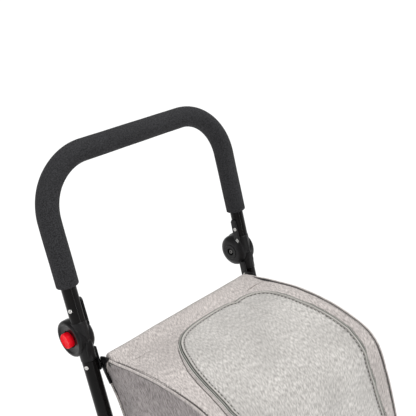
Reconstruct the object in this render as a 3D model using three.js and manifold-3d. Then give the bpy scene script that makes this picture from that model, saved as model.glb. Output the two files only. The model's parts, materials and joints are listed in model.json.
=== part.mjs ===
// A four-wheeled push trolley: a steel frame whose padded U handle tilts on two
// push-button hinges, and a fabric bag with a zipped lid on a moulded tray.
//
// Millimetres, +Z up. The trolley rolls towards -Y and is pushed from +Y, so
// its right side is -X. The origin is on the floor under the middle of the
// bounding box.

import * as THREE from 'three';
import { mergeVertices } from 'three/addons/utils/BufferGeometryUtils.js';
import Module from 'manifold-3d';

const wasm = await Module();
wasm.setup();

// Driving dimensions

const GAP = 0.3;                                  // left between pieces that touch
const LEAN = THREE.MathUtils.degToRad(17.3);      // the side tubes lean back
const KNEE = { y: 164, z: 780 };                  // height zero along a side tube
const TUBE = { x: 200, r: 12.5, bore: 11.2 };     // side tubes, 25 mm steel
const HANDLE = { top: 251.5, corner: 91.8, from: -7.7, gripFrom: 44, gripR: 17.5 };

// Hinge sizes along the leaning tube: s up the tube, off behind its axis
const PIVOT = { off: 19, s: -38 };
const HINGE = {
  innerX: 178, splitX: 200.75, outerX: 216,       // inner disc, split plane, outer disc
  innerR: 28, outerR: 30,
  socketR: 13, spigotR: 10.5,
  upperEnd: -8, lowerEnd: -77,                    // where the sockets meet the tubes
  chevron: 4,                                     // height of the V in the butt faces
};
const GEAR = { teeth: 16, root: 15, tip: 18, x0: 196, x1: 204.5, bore: 3.8 };
const BUTTON = { r: 14, x0: 212.7, x1: 226 };
const BOLT_R = 3;
const RIVET_R = 3.6;

// Bag
const BAG_X = 179;                                // half width
const SKIN = 3.5;                                 // padded and lined fabric
const LID = { back: 59, hemZ: 450 };              // rear edge and lower edge of the zip

const HANGER = { r: 3.5, y: 112, z: 698 };        // rod in the rear hem

// Chassis
const RAIL_Z = 135;
const BEND_R = 80;
const RAIL_END_Y = -178;
const CROSS_R = 9;
const TRAY_FLOOR = 5;
const LEG = { x: 200, r: 11, bore: 9.7, top: { y: 75, z: 388 } };
const AXLE = { y: 144, z: 90, r: 6 };
const WHEEL = { x: 245, r: 90, width: 36, rimR: 76 };
const CASTER = { x: 200, y: -204, trail: 28, r: 50, width: 24, rimR: 36 };
const BRAKE = { r: 5, x: 256, lobe: 12.3, z: 195, opens: 25 };

// Colours

function material(color, roughness, metalness = 0) {
  return new THREE.MeshStandardMaterial({ color, roughness, metalness });
}

const paint = material(0x0c0c0e, 0.25, 0.3);
const plastic = material(0x121214, 0.45);
const foam = material(0x1b1c1d, 0.9);
const steel = material(0xb9bbbd, 0.3, 1);
const red = material(0xe0101c, 0.35);
const fabric = material(0xa8a39e, 0.95);
const board = material(0x3a3836, 0.8);
const rubber = material(0x17181a, 0.85);
const grey = material(0x77797c, 0.5);

// Solids

function solid(geometry) {
  const bare = geometry.clone();
  bare.deleteAttribute('normal');
  bare.deleteAttribute('uv');
  const merged = mergeVertices(bare, 1e-4);
  return new wasm.Manifold(new wasm.Mesh({
    numProp: 3,
    vertProperties: merged.attributes.position.array,
    triVerts: merged.index.array,
  }));
}

function geometryOf(manifold) {
  const mesh = manifold.getMesh();
  const geometry = new THREE.BufferGeometry();
  geometry.setAttribute('position', new THREE.BufferAttribute(mesh.vertProperties, 3));
  geometry.setIndex(new THREE.BufferAttribute(mesh.triVerts, 1));
  geometry.computeVertexNormals();
  return geometry;
}

function join(first, ...others) {
  return others.reduce((sum, geometry) => sum.add(solid(geometry)), solid(first));
}

function cut(body, ...tools) {
  return tools.reduce((left, geometry) => left.subtract(solid(geometry)), body);
}

// A round bar from x0 to x1, or from z0 to z1, with a flat side facing down
function barX(r, x0, x1, y, z, sides = 16) {
  const bar = new THREE.CylinderGeometry(r, r, Math.abs(x1 - x0), sides);
  bar.rotateY(Math.PI / sides).rotateZ(Math.PI / 2);
  return bar.translate((x0 + x1) / 2, y, z);
}

function barZ(r, x, y, z0, z1, sides = 16) {
  const bar = new THREE.CylinderGeometry(r, r, z1 - z0, sides);
  return bar.rotateX(Math.PI / 2).translate(x, y, (z0 + z1) / 2);
}

// A round bar between two points of the plane x = const
function barYZ(r, x, from, to, sides = 16) {
  const start = new THREE.Vector3(x, from.y, from.z);
  const run = new THREE.Vector3(x, to.y, to.z).sub(start);
  const bar = new THREE.CylinderGeometry(r, r, run.length(), sides);
  bar.translate(0, run.length() / 2, 0);
  const turn = new THREE.Quaternion();
  turn.setFromUnitVectors(new THREE.Vector3(0, 1, 0), run.normalize());
  return bar.applyQuaternion(turn).translate(start.x, start.y, start.z);
}

function box(x0, x1, y0, y1, z0, z1) {
  const block = new THREE.BoxGeometry(Math.abs(x1 - x0), y1 - y0, z1 - z0);
  return block.translate((x0 + x1) / 2, (y0 + y1) / 2, (z0 + z1) / 2);
}

// A flat outline of (y, z) points made thick between x0 and x1
const YZ_TO_WORLD = new THREE.Matrix4().set(0, 0, 1, 0, 1, 0, 0, 0, 0, 1, 0, 0, 0, 0, 0, 1);

function plateX(outline, x0, x1) {
  const depth = Math.abs(x1 - x0);
  const plate = new THREE.ExtrudeGeometry(outline, { depth, bevelEnabled: false, curveSegments: 8 });
  return plate.applyMatrix4(YZ_TO_WORLD).translate(Math.min(x0, x1), 0, 0);
}

function polygon(points) {
  return new THREE.Shape(points.map(([a, b]) => new THREE.Vector2(a, b)));
}

// A body turned about the X axis from (radius, x) points that close on themselves
function turnedX(profile, sides, x, y, z) {
  const points = profile.map(([r, along]) => new THREE.Vector2(r, along));
  const lathe = new THREE.LatheGeometry(points, sides);
  lathe.rotateY(Math.PI / sides).rotateZ(-Math.PI / 2);
  return lathe.translate(x, y, z);
}

// From the leaning frame of the side tubes to the trolley's own
function lean(geometry) {
  return geometry.rotateX(-LEAN).translate(0, KNEE.y, KNEE.z);
}

function onTube(s, off = 0) {
  return {
    y: KNEE.y + s * Math.sin(LEAN) + off * Math.cos(LEAN),
    z: KNEE.z + s * Math.cos(LEAN) - off * Math.sin(LEAN),
  };
}

// A route of straight runs joined by round bends, with points only where it needs them
class Route extends THREE.Curve {
  constructor(corners, radius, stepsPerBend) {
    super();
    this.stations = [];
    const count = corners.length;
    corners.forEach((corner, i) => {
      if (i === 0 || i === count - 1) {
        const ahead = i === 0 ? corners[1].clone().sub(corner) : corner.clone().sub(corners[i - 1]);
        this.stations.push({ point: corner.clone(), tangent: ahead.normalize() });
      } else {
        this.bend(corners[i - 1], corner, corners[i + 1], radius, stepsPerBend);
      }
    });
  }

  bend(before, corner, after, radius, steps) {
    const into = corner.clone().sub(before).normalize();
    const out = after.clone().sub(corner).normalize();
    const turn = into.angleTo(out);
    const setback = radius * Math.tan(turn / 2);
    const start = corner.clone().addScaledVector(into, -setback);
    const inward = out.clone().addScaledVector(into, -into.dot(out)).normalize();
    for (let i = 0; i <= steps; i++) {
      const angle = (turn * i) / steps;
      const point = start.clone().addScaledVector(into, radius * Math.sin(angle));
      point.addScaledVector(inward, radius * (1 - Math.cos(angle)));
      const tangent = into.clone().multiplyScalar(Math.cos(angle));
      tangent.addScaledVector(inward, Math.sin(angle));
      this.stations.push({ point, tangent });
    }
  }

  get steps() {
    return this.stations.length - 1;
  }

  getPointAt(t) {
    return this.stations[Math.round(t * this.steps)].point.clone();
  }

  getTangentAt(t) {
    return this.stations[Math.round(t * this.steps)].tangent.clone();
  }
}

function pipe(route, outer, bore) {
  const section = new THREE.Shape().absarc(0, 0, outer, 0, 2 * Math.PI);
  section.holes.push(new THREE.Path().absarc(0, 0, bore, 0, 2 * Math.PI));
  const options = { extrudePath: route, steps: route.steps, curveSegments: 6, bevelEnabled: false };
  return new THREE.ExtrudeGeometry(section, options);
}

function mesh(name, geometry, look) {
  const part = new THREE.Mesh(geometry, look);
  part.name = name;
  return part;
}

const SIDES = [{ word: 'left', sign: 1 }, { word: 'right', sign: -1 }];
const trolley = new THREE.Group();
const leaning = new THREE.Group();
leaning.position.set(0, KNEE.y, KNEE.z);
leaning.rotation.x = -LEAN;
trolley.add(leaning);

// Handle, in the leaning frame: x, off, s

function handleRoute(from) {
  const { x } = TUBE;
  const corners = [[-x, from], [-x, HANDLE.top], [x, HANDLE.top], [x, from]];
  return new Route(corners.map(([a, s]) => new THREE.Vector3(a, 0, s)), HANDLE.corner, 7);
}

function rivetHole(sign, s) {
  return barX(2.3, sign * (TUBE.x + 4), sign * (TUBE.x + 20), 0, s, 8);
}

function makeHandle() {
  let tube = solid(pipe(handleRoute(HANDLE.from), TUBE.r, TUBE.bore));
  for (const { sign } of SIDES) {
    tube = cut(tube, rivetHole(sign, 12));
  }
  leaning.add(mesh('handle_tube', geometryOf(tube), paint));
  const grip = pipe(handleRoute(HANDLE.gripFrom), HANDLE.gripR, TUBE.r + GAP);
  leaning.add(mesh('foam_grip', grip, foam));
}

// Hinges: a disc on each half, one inside and one outside the plane splitX

function gearOutline(grow) {
  const pitch = (2 * Math.PI) / GEAR.teeth;
  const wider = grow / GEAR.root;
  const corners = [
    [GEAR.root, -0.3 * pitch], [GEAR.tip, -0.16 * pitch],
    [GEAR.tip, 0.16 * pitch], [GEAR.root, 0.3 * pitch],
  ];
  const points = [];
  for (let tooth = 0; tooth < GEAR.teeth; tooth++) {
    for (const [r, turn] of corners) {
      const angle = tooth * pitch + turn + Math.sign(turn) * wider;
      points.push([PIVOT.off + (r + grow) * Math.cos(angle), PIVOT.s + (r + grow) * Math.sin(angle)]);
    }
  }
  return polygon(points);
}

// The V of the butt joint, whose point is in the middle of the tube
function chevron(sign, s, depth) {
  const { chevron: rise } = HINGE;
  const ends = [[-16, s], [0, s - rise], [16, s], [16, s + depth], [-16, s + depth]];
  const wedge = new THREE.ExtrudeGeometry(polygon(ends), { depth: 32, bevelEnabled: false });
  return wedge.rotateX(Math.PI / 2).translate(sign * TUBE.x, 16, 0);
}

function makeUpperHinge({ word, sign }) {
  const { innerX, splitX, innerR, outerR, socketR, spigotR, upperEnd } = HINGE;
  const x = sign * TUBE.x;
  const socket = solid(barZ(socketR, x, 0, PIVOT.s - 8, upperEnd, 18));
  const butt = socket.intersect(solid(chevron(sign, PIVOT.s + GAP / 2, 60)));
  const rest = join(
    barX(innerR, sign * innerX, sign * (splitX - 0.25), PIVOT.off, PIVOT.s, 28),
    barZ(spigotR, x, 0, upperEnd - 1, 28, 12),
    box(sign * 184, sign * 187.2, -7, 7, -20, 28),
  );
  const half = cut(
    butt.add(rest),
    barX(outerR + 0.4, sign * splitX, sign * 232, PIVOT.off, PIVOT.s, 28),
    barX(9, sign * (innerX - 1), sign * (innerX + 5), PIVOT.off, PIVOT.s),
    barX(BOLT_R + 0.4, sign * innerX, sign * 192, PIVOT.off, PIVOT.s, 12),
    plateX(gearOutline(0.35), sign * 188, sign * (splitX + 1)),
    rivetHole(sign, 12),
  );
  leaning.add(mesh(`hinge_upper_${word}`, geometryOf(half), plastic));
}

function legPlaces() {
  return [0, 1, 2].map((i) => {
    const angle = Math.PI / 6 + (i * 2 * Math.PI) / 3;
    return { off: PIVOT.off + 9 * Math.cos(angle), s: PIVOT.s + 9 * Math.sin(angle) };
  });
}

function makeLowerHinge({ word, sign }) {
  const { innerX, splitX, outerX, innerR, outerR, socketR, spigotR, lowerEnd } = HINGE;
  const x = sign * TUBE.x;
  const socket = cut(
    solid(barZ(socketR, x, 0, lowerEnd, PIVOT.s + 4, 18)),
    chevron(sign, PIVOT.s - GAP / 2, 60),
  );
  const rest = join(
    barX(outerR, sign * (splitX + 0.25), sign * outerX, PIVOT.off, PIVOT.s, 28),
    barZ(spigotR, x, 0, lowerEnd - 35, lowerEnd + 1, 12),
    box(sign * 184, sign * 187.2, -7, 7, -103, -60),
  );
  const half = cut(
    socket.add(rest),
    barX(innerR + 0.4, sign * (innerX - 8), sign * splitX, PIVOT.off, PIVOT.s, 28),
    barX(GEAR.tip + 1, sign * 200, sign * (GEAR.x1 + 0.8), PIVOT.off, PIVOT.s, 20),
    barX(BUTTON.r + 0.6, sign * 208.3, sign * (outerX + 1), PIVOT.off, PIVOT.s, 20),
    barX(BOLT_R + 0.4, sign * 204, sign * 210, PIVOT.off, PIVOT.s, 12),
    ...legPlaces().map(({ off, s }) => barX(2.8, sign * 204, sign * 210, off, s, 6)),
    rivetHole(sign, -90),
  );
  leaning.add(mesh(`hinge_lower_${word}`, geometryOf(half), plastic));
}

function makeLockParts({ word, sign }) {
  const gear = cut(
    solid(plateX(gearOutline(0), sign * GEAR.x0, sign * GEAR.x1)),
    barX(GEAR.bore, sign * (GEAR.x0 - 1), sign * (GEAR.x1 + 1), PIVOT.off, PIVOT.s, 16),
  );
  leaning.add(mesh(`lock_gear_${word}`, geometryOf(gear), steel));

  const bolt = join(
    barX(7, sign * 178.8, sign * 182.7, PIVOT.off, PIVOT.s, 16),
    barX(BOLT_R, sign * 182, sign * 213, PIVOT.off, PIVOT.s, 12),
  );
  const driver = cut(bolt, barX(3, sign * 178, sign * 181, PIVOT.off, PIVOT.s, 6));
  leaning.add(mesh(`pivot_bolt_${word}`, geometryOf(driver), steel));

  const nut = cut(
    solid(barX(5.6, sign * 208.6, sign * 212.3, PIVOT.off, PIVOT.s, 6)),
    barX(BOLT_R + GAP, sign * 208, sign * 214, PIVOT.off, PIVOT.s, 12),
  );
  leaning.add(mesh(`pivot_nut_${word}`, geometryOf(nut), steel));
}

class Coil extends THREE.Curve {
  constructor(radius, x0, x1, turns) {
    super();
    Object.assign(this, { radius, x0, x1, turns });
  }

  getPoint(t) {
    const angle = 2 * Math.PI * this.turns * t;
    const x = this.x0 + (this.x1 - this.x0) * t;
    const off = PIVOT.off + this.radius * Math.cos(angle);
    return new THREE.Vector3(x, off, PIVOT.s + this.radius * Math.sin(angle));
  }
}

function makeSpring({ word, sign }) {
  const wire = 0.6;
  const coil = new Coil(9, sign * (188.3 + wire), sign * (GEAR.x0 - GAP - wire), 2.5);
  const section = new THREE.Shape().absarc(0, 0, wire, 0, 2 * Math.PI);
  const options = { extrudePath: coil, steps: 30, curveSegments: 3, bevelEnabled: false };
  const geometry = new THREE.ExtrudeGeometry(section, options);
  leaning.add(mesh(`release_spring_${word}`, geometry, steel));
}

function makeButton({ word, sign }) {
  const { r, x0, x1 } = BUTTON;
  const cap = [[0, 8.5], [7.2, 8.5], [7.2, 0], [r, 0], [r, 11], [r - 0.8, 12.6], [r - 3, x1 - x0]];
  const dish = [[r - 4.5, x1 - x0 - 0.6], [0, x1 - x0 - 1]];
  const turned = turnedX([...cap, ...dish], 20, 0, 0, 0);
  if (sign < 0) turned.rotateY(Math.PI);
  turned.translate(sign * x0, PIVOT.off, PIVOT.s);
  const legs = legPlaces().map(({ off, s }) => {
    return barX(2.1, sign * (GEAR.x1 + GAP), sign * (x0 + 2), off, s, 6);
  });
  leaning.add(mesh(`release_button_${word}`, geometryOf(join(turned, ...legs)), red));
}

function makeRivet({ word, sign }, level, s) {
  const surface = TUBE.x + TUBE.r;
  const rivet = join(
    barX(RIVET_R, sign * (surface + GAP), sign * (surface + 1.6), 0, s, 16),
    barX(2, sign * (TUBE.x + 5), sign * (surface + 1), 0, s, 8),
  );
  leaning.add(mesh(`rivet_${level}_${word}`, geometryOf(rivet), steel));
}

// Frame

function makeFrameTube({ word, sign }) {
  const x = sign * TUBE.x;
  const start = onTube(HINGE.lowerEnd - GAP);
  const foot = onTube((RAIL_Z - KNEE.z) / Math.cos(LEAN));
  const route = new Route([
    new THREE.Vector3(x, start.y, start.z),
    new THREE.Vector3(x, foot.y, RAIL_Z),
    new THREE.Vector3(x, RAIL_END_Y, RAIL_Z),
  ], BEND_R, 6);
  const tube = cut(solid(pipe(route, TUBE.r, TUBE.bore)), lean(rivetHole(sign, -90)));
  trolley.add(mesh(`frame_tube_${word}`, geometryOf(tube), paint));
}

function makeCrossTube(name, y, z) {
  const end = TUBE.x - TUBE.r - GAP;
  const tube = cut(solid(barX(CROSS_R, -end, end, y, z)), barX(CROSS_R - 1.2, -end - 1, end + 1, y, z));
  trolley.add(mesh(name, geometryOf(tube), paint));
}

function makeCrossTubes() {
  const middle = onTube(-345);
  const low = onTube(-607);
  makeCrossTube('cross_tube_middle', middle.y, middle.z);
  makeCrossTube('cross_tube_low', low.y, low.z);
  makeCrossTube('cross_tube_base_rear', -100, RAIL_Z);
  makeCrossTube('cross_tube_base_front', -165, RAIL_Z);
}

// Rear legs, from a bracket on each side tube down to the axle

const legRun = new THREE.Vector2(AXLE.y - LEG.top.y, AXLE.z - LEG.top.z).normalize();

function onLeg(distance) {
  return { y: LEG.top.y + legRun.x * distance, z: LEG.top.z + legRun.y * distance };
}

const legLength = Math.hypot(AXLE.y - LEG.top.y, AXLE.z - LEG.top.z) - 19;
const brakeAxis = onLeg((BRAKE.z - LEG.top.z) / legRun.y);

function makeRearLeg({ word, sign }) {
  const x = sign * LEG.x;
  const leg = cut(
    solid(barYZ(LEG.r, x, onLeg(0), onLeg(legLength), 12)),
    barYZ(LEG.bore, x, onLeg(-1), onLeg(legLength + 1), 12),
    barX(BRAKE.r + 0.4, x - 20, x + 20, brakeAxis.y, brakeAxis.z, 12),
  );
  trolley.add(mesh(`rear_leg_${word}`, geometryOf(leg), paint));

  const collarEnds = [onTube(-422), onTube(-378)];
  const bracket = cut(
    join(
      barYZ(17, x, ...collarEnds, 18),
      lean(box(x - 8, x + 8, 10, 36, -400, -380)),
      barYZ(12, x, onLeg(-16), onLeg(-GAP), 12),
      barYZ(LEG.bore - 0.6, x, onLeg(-2), onLeg(26), 12),
    ),
    barYZ(TUBE.r + 0.6, x, onTube(-430), onTube(-370), 18),
  );
  trolley.add(mesh(`leg_bracket_${word}`, geometryOf(bracket), plastic));

  const block = cut(
    join(
      box(x - 12, x + 12, AXLE.y - 15, AXLE.y + 15, AXLE.z - 14, AXLE.z + 14),
      barYZ(LEG.r, x, onLeg(legLength + GAP), onLeg(legLength + 8), 12),
      barYZ(LEG.bore - 0.6, x, onLeg(legLength - 24), onLeg(legLength + 2), 12),
    ),
    barX(AXLE.r + GAP, x - 20, x + 20, AXLE.y, AXLE.z),
  );
  trolley.add(mesh(`axle_block_${word}`, geometryOf(block), plastic));
}

function makeAxle() {
  const end = WHEEL.x + 17;
  trolley.add(mesh('rear_axle', barX(AXLE.r, -end, end, AXLE.y, AXLE.z), steel));
}

// Wheels: a moulded rim with round windows, a tyre and a cap

function flatRadius(r, sides) {
  return r / Math.cos(Math.PI / sides);
}

function tyreProfile(rimR, r, width, sides) {
  const outer = flatRadius(r, sides);
  const half = width / 2;
  const wall = outer - 7;
  return [
    [rimR + GAP, -half + 3], [wall, -half], [outer - 2, -half + 4], [outer, -half + 9],
    [outer, half - 9], [outer - 2, half - 4], [wall, half], [rimR + GAP, half - 3],
    [rimR + GAP, -half + 3],
  ];
}

function rimProfile(rimR, bore, hubR, hubHalf, half) {
  return [
    [bore, -hubHalf], [hubR, -hubHalf], [hubR, -3], [rimR - 8, -3], [rimR - 8, -half], [rimR, -half],
    [rimR, half], [rimR - 8, half], [rimR - 8, 3], [hubR, 3], [hubR, hubHalf], [bore, hubHalf],
    [bore, -hubHalf],
  ];
}

function windowsX(count, r, radius, x, y, z) {
  return Array.from({ length: count }, (_, i) => {
    const angle = ((i + 0.5) * 2 * Math.PI) / count;
    return barX(r, x - 8, x + 8, y + radius * Math.cos(angle), z + radius * Math.sin(angle), 8);
  });
}

function makeRearWheel({ word, sign }) {
  const x = sign * WHEEL.x;
  const { y, z } = AXLE;
  const tyre = tyreProfile(WHEEL.rimR, WHEEL.r, WHEEL.width, 28);
  trolley.add(mesh(`rear_tyre_${word}`, turnedX(tyre, 28, x, y, z), rubber));
  const rim = rimProfile(WHEEL.rimR, AXLE.r + 0.4, 17, 20, 13);
  const windowed = cut(solid(turnedX(rim, 28, x, y, z)), ...windowsX(6, 14, 43, x, y, z));
  trolley.add(mesh(`rear_rim_${word}`, geometryOf(windowed), grey));
  const cap = [[0, 0], [15, 0], [14, 3.5], [9, 6], [0, 7]];
  const turned = turnedX(cap, 16, 0, 0, 0);
  if (sign < 0) turned.rotateY(Math.PI);
  trolley.add(mesh(`wheel_cap_${word}`, turned.translate(x + sign * (20 + GAP), y, z), plastic));
}

// Casters: housing on the rail end, swivelling fork, wheel on its axle

function makeCasterHousing({ word, sign }) {
  const x = sign * CASTER.x;
  const front = CASTER.y - 22;
  const back = RAIL_END_Y - GAP;
  const profile = polygon([
    [front + 6, 112], [back, 112], [back, 153], [front + 14, 153], [front, 140], [front, 118],
  ]);
  const housing = cut(
    join(
      plateX(profile, x - 15.5, x + 15.5),
      barYZ(HINGE.spigotR, x, { y: back - 1, z: RAIL_Z }, { y: back + 24, z: RAIL_Z }, 12),
    ),
    barZ(5.6, x, CASTER.y, 111, 146),
  );
  trolley.add(mesh(`caster_housing_${word}`, geometryOf(housing), plastic));
}

function makeCaster({ word, sign }) {
  const { y, trail, width, r } = CASTER;
  const x = sign * CASTER.x;
  const axleY = y + trail;
  const inner = width / 2 + 2.5;
  const outer = inner + 4;
  const leg = new THREE.Shape();
  leg.moveTo(y - 18, 111.6);
  leg.lineTo(y - 18, 98);
  leg.absarc(axleY, r, 10, Math.PI * 1.15, Math.PI * 2.1, false);
  leg.lineTo(y + 20, 100);
  leg.lineTo(y + 20, 111.6);
  const axleHole = barX(4.3, x - 30, x + 30, axleY, r, 12);
  const fork = cut(
    join(
      plateX(leg, x - outer, x - inner),
      plateX(leg, x + inner, x + outer),
      box(x - outer, x + outer, y - 18, y + 20, 104.5, 111.6),
      barZ(5, x, y, 110, 144, 12),
    ),
    axleHole,
  );
  trolley.add(mesh(`caster_fork_${word}`, geometryOf(fork), plastic));

  const axle = join(
    barX(4, x - outer - 1, x + outer + 1, axleY, r, 10),
    barX(6.5, x - outer - 3, x - outer - GAP, axleY, r, 12),
    barX(6.5, x + outer + GAP, x + outer + 3, axleY, r, 12),
  );
  trolley.add(mesh(`caster_axle_${word}`, geometryOf(axle), steel));

  const tyre = tyreProfile(CASTER.rimR, r, width, 20);
  trolley.add(mesh(`caster_tyre_${word}`, turnedX(tyre, 20, x, axleY, r), rubber));
  const rim = rimProfile(CASTER.rimR, 4.4, 9, width / 2 + 1.8, 8);
  trolley.add(mesh(`caster_rim_${word}`, turnedX(rim, 20, x, axleY, r), grey));
}

// Foot brake: a cross shaft through the legs, a lobe above each tyre and a pedal

function makeBrake() {
  const { y, z } = brakeAxis;
  const on = Math.atan2(legRun.y, legRun.x);
  const off = on + THREE.MathUtils.degToRad(BRAKE.opens);
  const lobe = { y: y + BRAKE.lobe * Math.cos(off), z: z + BRAKE.lobe * Math.sin(off) };
  const side = { y: -Math.sin(off) * BRAKE.r, z: Math.cos(off) * BRAKE.r };
  const web = polygon([
    [y + side.y, z + side.z], [y - side.y, z - side.z],
    [lobe.y - side.y, lobe.z - side.z], [lobe.y + side.y, lobe.z + side.z],
  ]);
  const pieces = [];
  for (const { sign } of SIDES) {
    const x0 = sign * 236;
    const x1 = sign * 254;
    pieces.push(plateX(web, x0, x1), barX(BRAKE.r, x0, x1, lobe.y, lobe.z));
    pieces.push(box(sign * 34, sign * 42, y, y + 82, z - 3, z + 3));
  }
  pieces.push(box(-42, 42, y + 52, y + 82, z - 3, z + 3));
  const bar = join(barX(BRAKE.r, -BRAKE.x, BRAKE.x, y, z), ...pieces);
  trolley.add(mesh('brake_bar', geometryOf(bar), paint));
  const pad = cut(
    solid(box(-50, 50, y + 46, y + 88, z + 3 + GAP, z + 10)),
    ...[58, 67, 76].map((step) => box(-44, 44, y + step - 1.5, y + step + 1.5, z + 8, z + 11)),
  );
  trolley.add(mesh('brake_pedal_pad', geometryOf(pad), rubber));
}

// Tray under the bag, resting on the two base cross tubes

function makeTray() {
  const floor = RAIL_Z + CROSS_R + GAP;
  const tray = cut(
    solid(box(-183.8, 183.8, -243, -48, floor, floor + 18)),
    box(-180.8, 180.8, -240, -51, floor + TRAY_FLOOR, floor + 20),
  );
  trolley.add(mesh('base_tray', geometryOf(tray), plastic));
}

// Bag, from its side outline in (y, z)

const TRAY_TOP = RAIL_Z + CROSS_R + GAP + TRAY_FLOOR;
const FLOOR_Z = TRAY_TOP + GAP;
const crown = [
  [120, 706], [84, 717], [47, 725], [8, 732], [-26, 734], [-65, 731.5], [-99, 726.5], [-126, 720],
  [-149, 711.5], [-168, 696], [-181, 676], [-191, 653], [-210, 605], [-238, 515], [-253, 420],
  [-256, 330], [-251, 225],
];
const back = [[-50, 205], [16, 375], [71, 550], [98, 614], [122, 675]];

function smooth(points, count) {
  const curve = new THREE.SplineCurve(points.map(([y, z]) => new THREE.Vector2(y, z)));
  return curve.getSpacedPoints(count);
}

const crownLine = smooth(crown, 34);
const backLine = smooth(back, 9);

function bagOutline() {
  const outline = new THREE.Shape();
  outline.moveTo(crownLine[0].x, crownLine[0].y);
  crownLine.slice(1).forEach((point) => outline.lineTo(point.x, point.y));
  outline.quadraticCurveTo(-244, FLOOR_Z, -205, FLOOR_Z);
  outline.lineTo(-86, FLOOR_Z);
  outline.quadraticCurveTo(-66, FLOOR_Z + 4, backLine[0].x, backLine[0].y);
  backLine.slice(1).forEach((point) => outline.lineTo(point.x, point.y));
  return outline.extractPoints(4).shape;
}

// The points moved sideways: positive grows an outline that runs anticlockwise
function offset(points, distance, closed) {
  const last = points.length - 1;
  return points.map((point, i) => {
    const before = points[i > 0 ? i - 1 : closed ? last : 0];
    const after = points[i < last ? i + 1 : closed ? 0 : last];
    const run = new THREE.Vector2().subVectors(after, before).normalize();
    return new THREE.Vector2(point.x + run.y * distance, point.y - run.x * distance);
  });
}

// A strip along the crown, as thick as it reaches outwards and inwards
function crownBand(outwards, inwards) {
  const outer = offset(crownLine, outwards, false);
  const inner = offset(crownLine, -inwards, false);
  return new THREE.Shape([...outer, ...inner.reverse()]);
}

// The zip's line seen from above, drawn in by a margin
function lidPlan(margin) {
  const half = [[156, -300], [149, -222], [136, -165], [128, -75]];
  const plan = new THREE.Shape();
  plan.moveTo(half[0][0] - margin, half[0][1]);
  half.slice(1).forEach(([x, y]) => plan.lineTo(x - margin, y));
  plan.bezierCurveTo(125 - margin, 20, 110 - margin, LID.back - margin, 52, LID.back - margin);
  plan.lineTo(-52, LID.back - margin);
  plan.bezierCurveTo(margin - 110, LID.back - margin, margin - 125, 20, margin - 128, -75);
  half.slice(0, 3).reverse().forEach(([x, y]) => plan.lineTo(margin - x, y));
  return new THREE.ExtrudeGeometry(plan, { depth: 900, bevelEnabled: false, curveSegments: 10 });
}

function lidSolid(outwards, inwards, margin) {
  const strip = solid(plateX(crownBand(outwards, inwards), -170, 170));
  const above = solid(box(-200, 200, -400, 200, LID.hemZ + margin, 900));
  return strip.intersect(solid(lidPlan(margin))).intersect(above);
}

function makeBag() {
  const outer = bagOutline();
  const inner = offset(outer, -SKIN, true);
  const shell = cut(
    solid(plateX(new THREE.Shape(outer), -BAG_X, BAG_X)),
    plateX(new THREE.Shape(inner), -BAG_X + SKIN, BAG_X - SKIN),
    barX(HANGER.r + GAP, -BAG_X - 2, BAG_X + 2, HANGER.y, HANGER.z, 12),
  );
  const open = shell.subtract(lidSolid(6, 9, 0));
  trolley.add(mesh('bag_body', geometryOf(open), fabric));
  trolley.add(mesh('bag_lid', geometryOf(lidSolid(0, SKIN, 0.5)), fabric));
  const top = FLOOR_Z + SKIN + GAP;
  trolley.add(mesh('bag_base_board', box(-168, 168, -203, -89, top, top + 4), board));
}

// Hanger rod in the bag's rear hem, held by a clip on each side tube

function makeHanger() {
  trolley.add(mesh('hanger_rod', barX(HANGER.r, -183, 183, HANGER.y, HANGER.z, 12), steel));
  const outline = polygon([
    [141, 704], [117, 713], [105, 704], [105, 693], [122, 680], [114, 659], [111, 654], [115, 652],
    [118, 657], [129, 676], [137, 690],
  ]);
  for (const { word, sign } of SIDES) {
    const clip = cut(
      solid(plateX(outline, sign * 180, sign * 183.7)),
      barX(HANGER.r + GAP, sign * 179, sign * 184.5, HANGER.y, HANGER.z, 12),
    );
    trolley.add(mesh(`corner_clip_${word}`, geometryOf(clip), plastic));
  }
}

// Zip slider at the lower end of the zip, with its hinged puller

function makeZip() {
  const x = 158;
  const y = -252;
  const z = 438;
  const slider = join(
    box(x - 5, x + 5, y - 3.2, y - 1.2, z - 7, z + 7),
    box(x - 4, x - 2.4, y - 4.2, y - 3, z - 4, z + 4),
    box(x + 2.4, x + 4, y - 4.2, y - 3, z - 4, z + 4),
  );
  trolley.add(mesh('zip_slider', geometryOf(slider), steel));
  trolley.add(mesh('zip_puller', box(x - 2, x + 2, y - 4.3, y - 3.5, z - 26, z + 2.5), steel));
}

makeHandle();
for (const side of SIDES) {
  makeUpperHinge(side);
  makeLowerHinge(side);
  makeLockParts(side);
  makeSpring(side);
  makeButton(side);
  makeRivet(side, 'upper', 12);
  makeRivet(side, 'lower', -90);
  makeFrameTube(side);
  makeRearLeg(side);
  makeRearWheel(side);
  makeCasterHousing(side);
  makeCaster(side);
}
makeCrossTubes();
makeAxle();
makeBrake();
makeTray();
makeBag();
makeHanger();
makeZip();

export default trolley;
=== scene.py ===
import json
import math

import bmesh
import bpy
import numpy as np
from mathutils import Matrix, Vector
from mathutils.geometry import delaunay_2d_cdt
from mathutils.kdtree import KDTree


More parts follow.
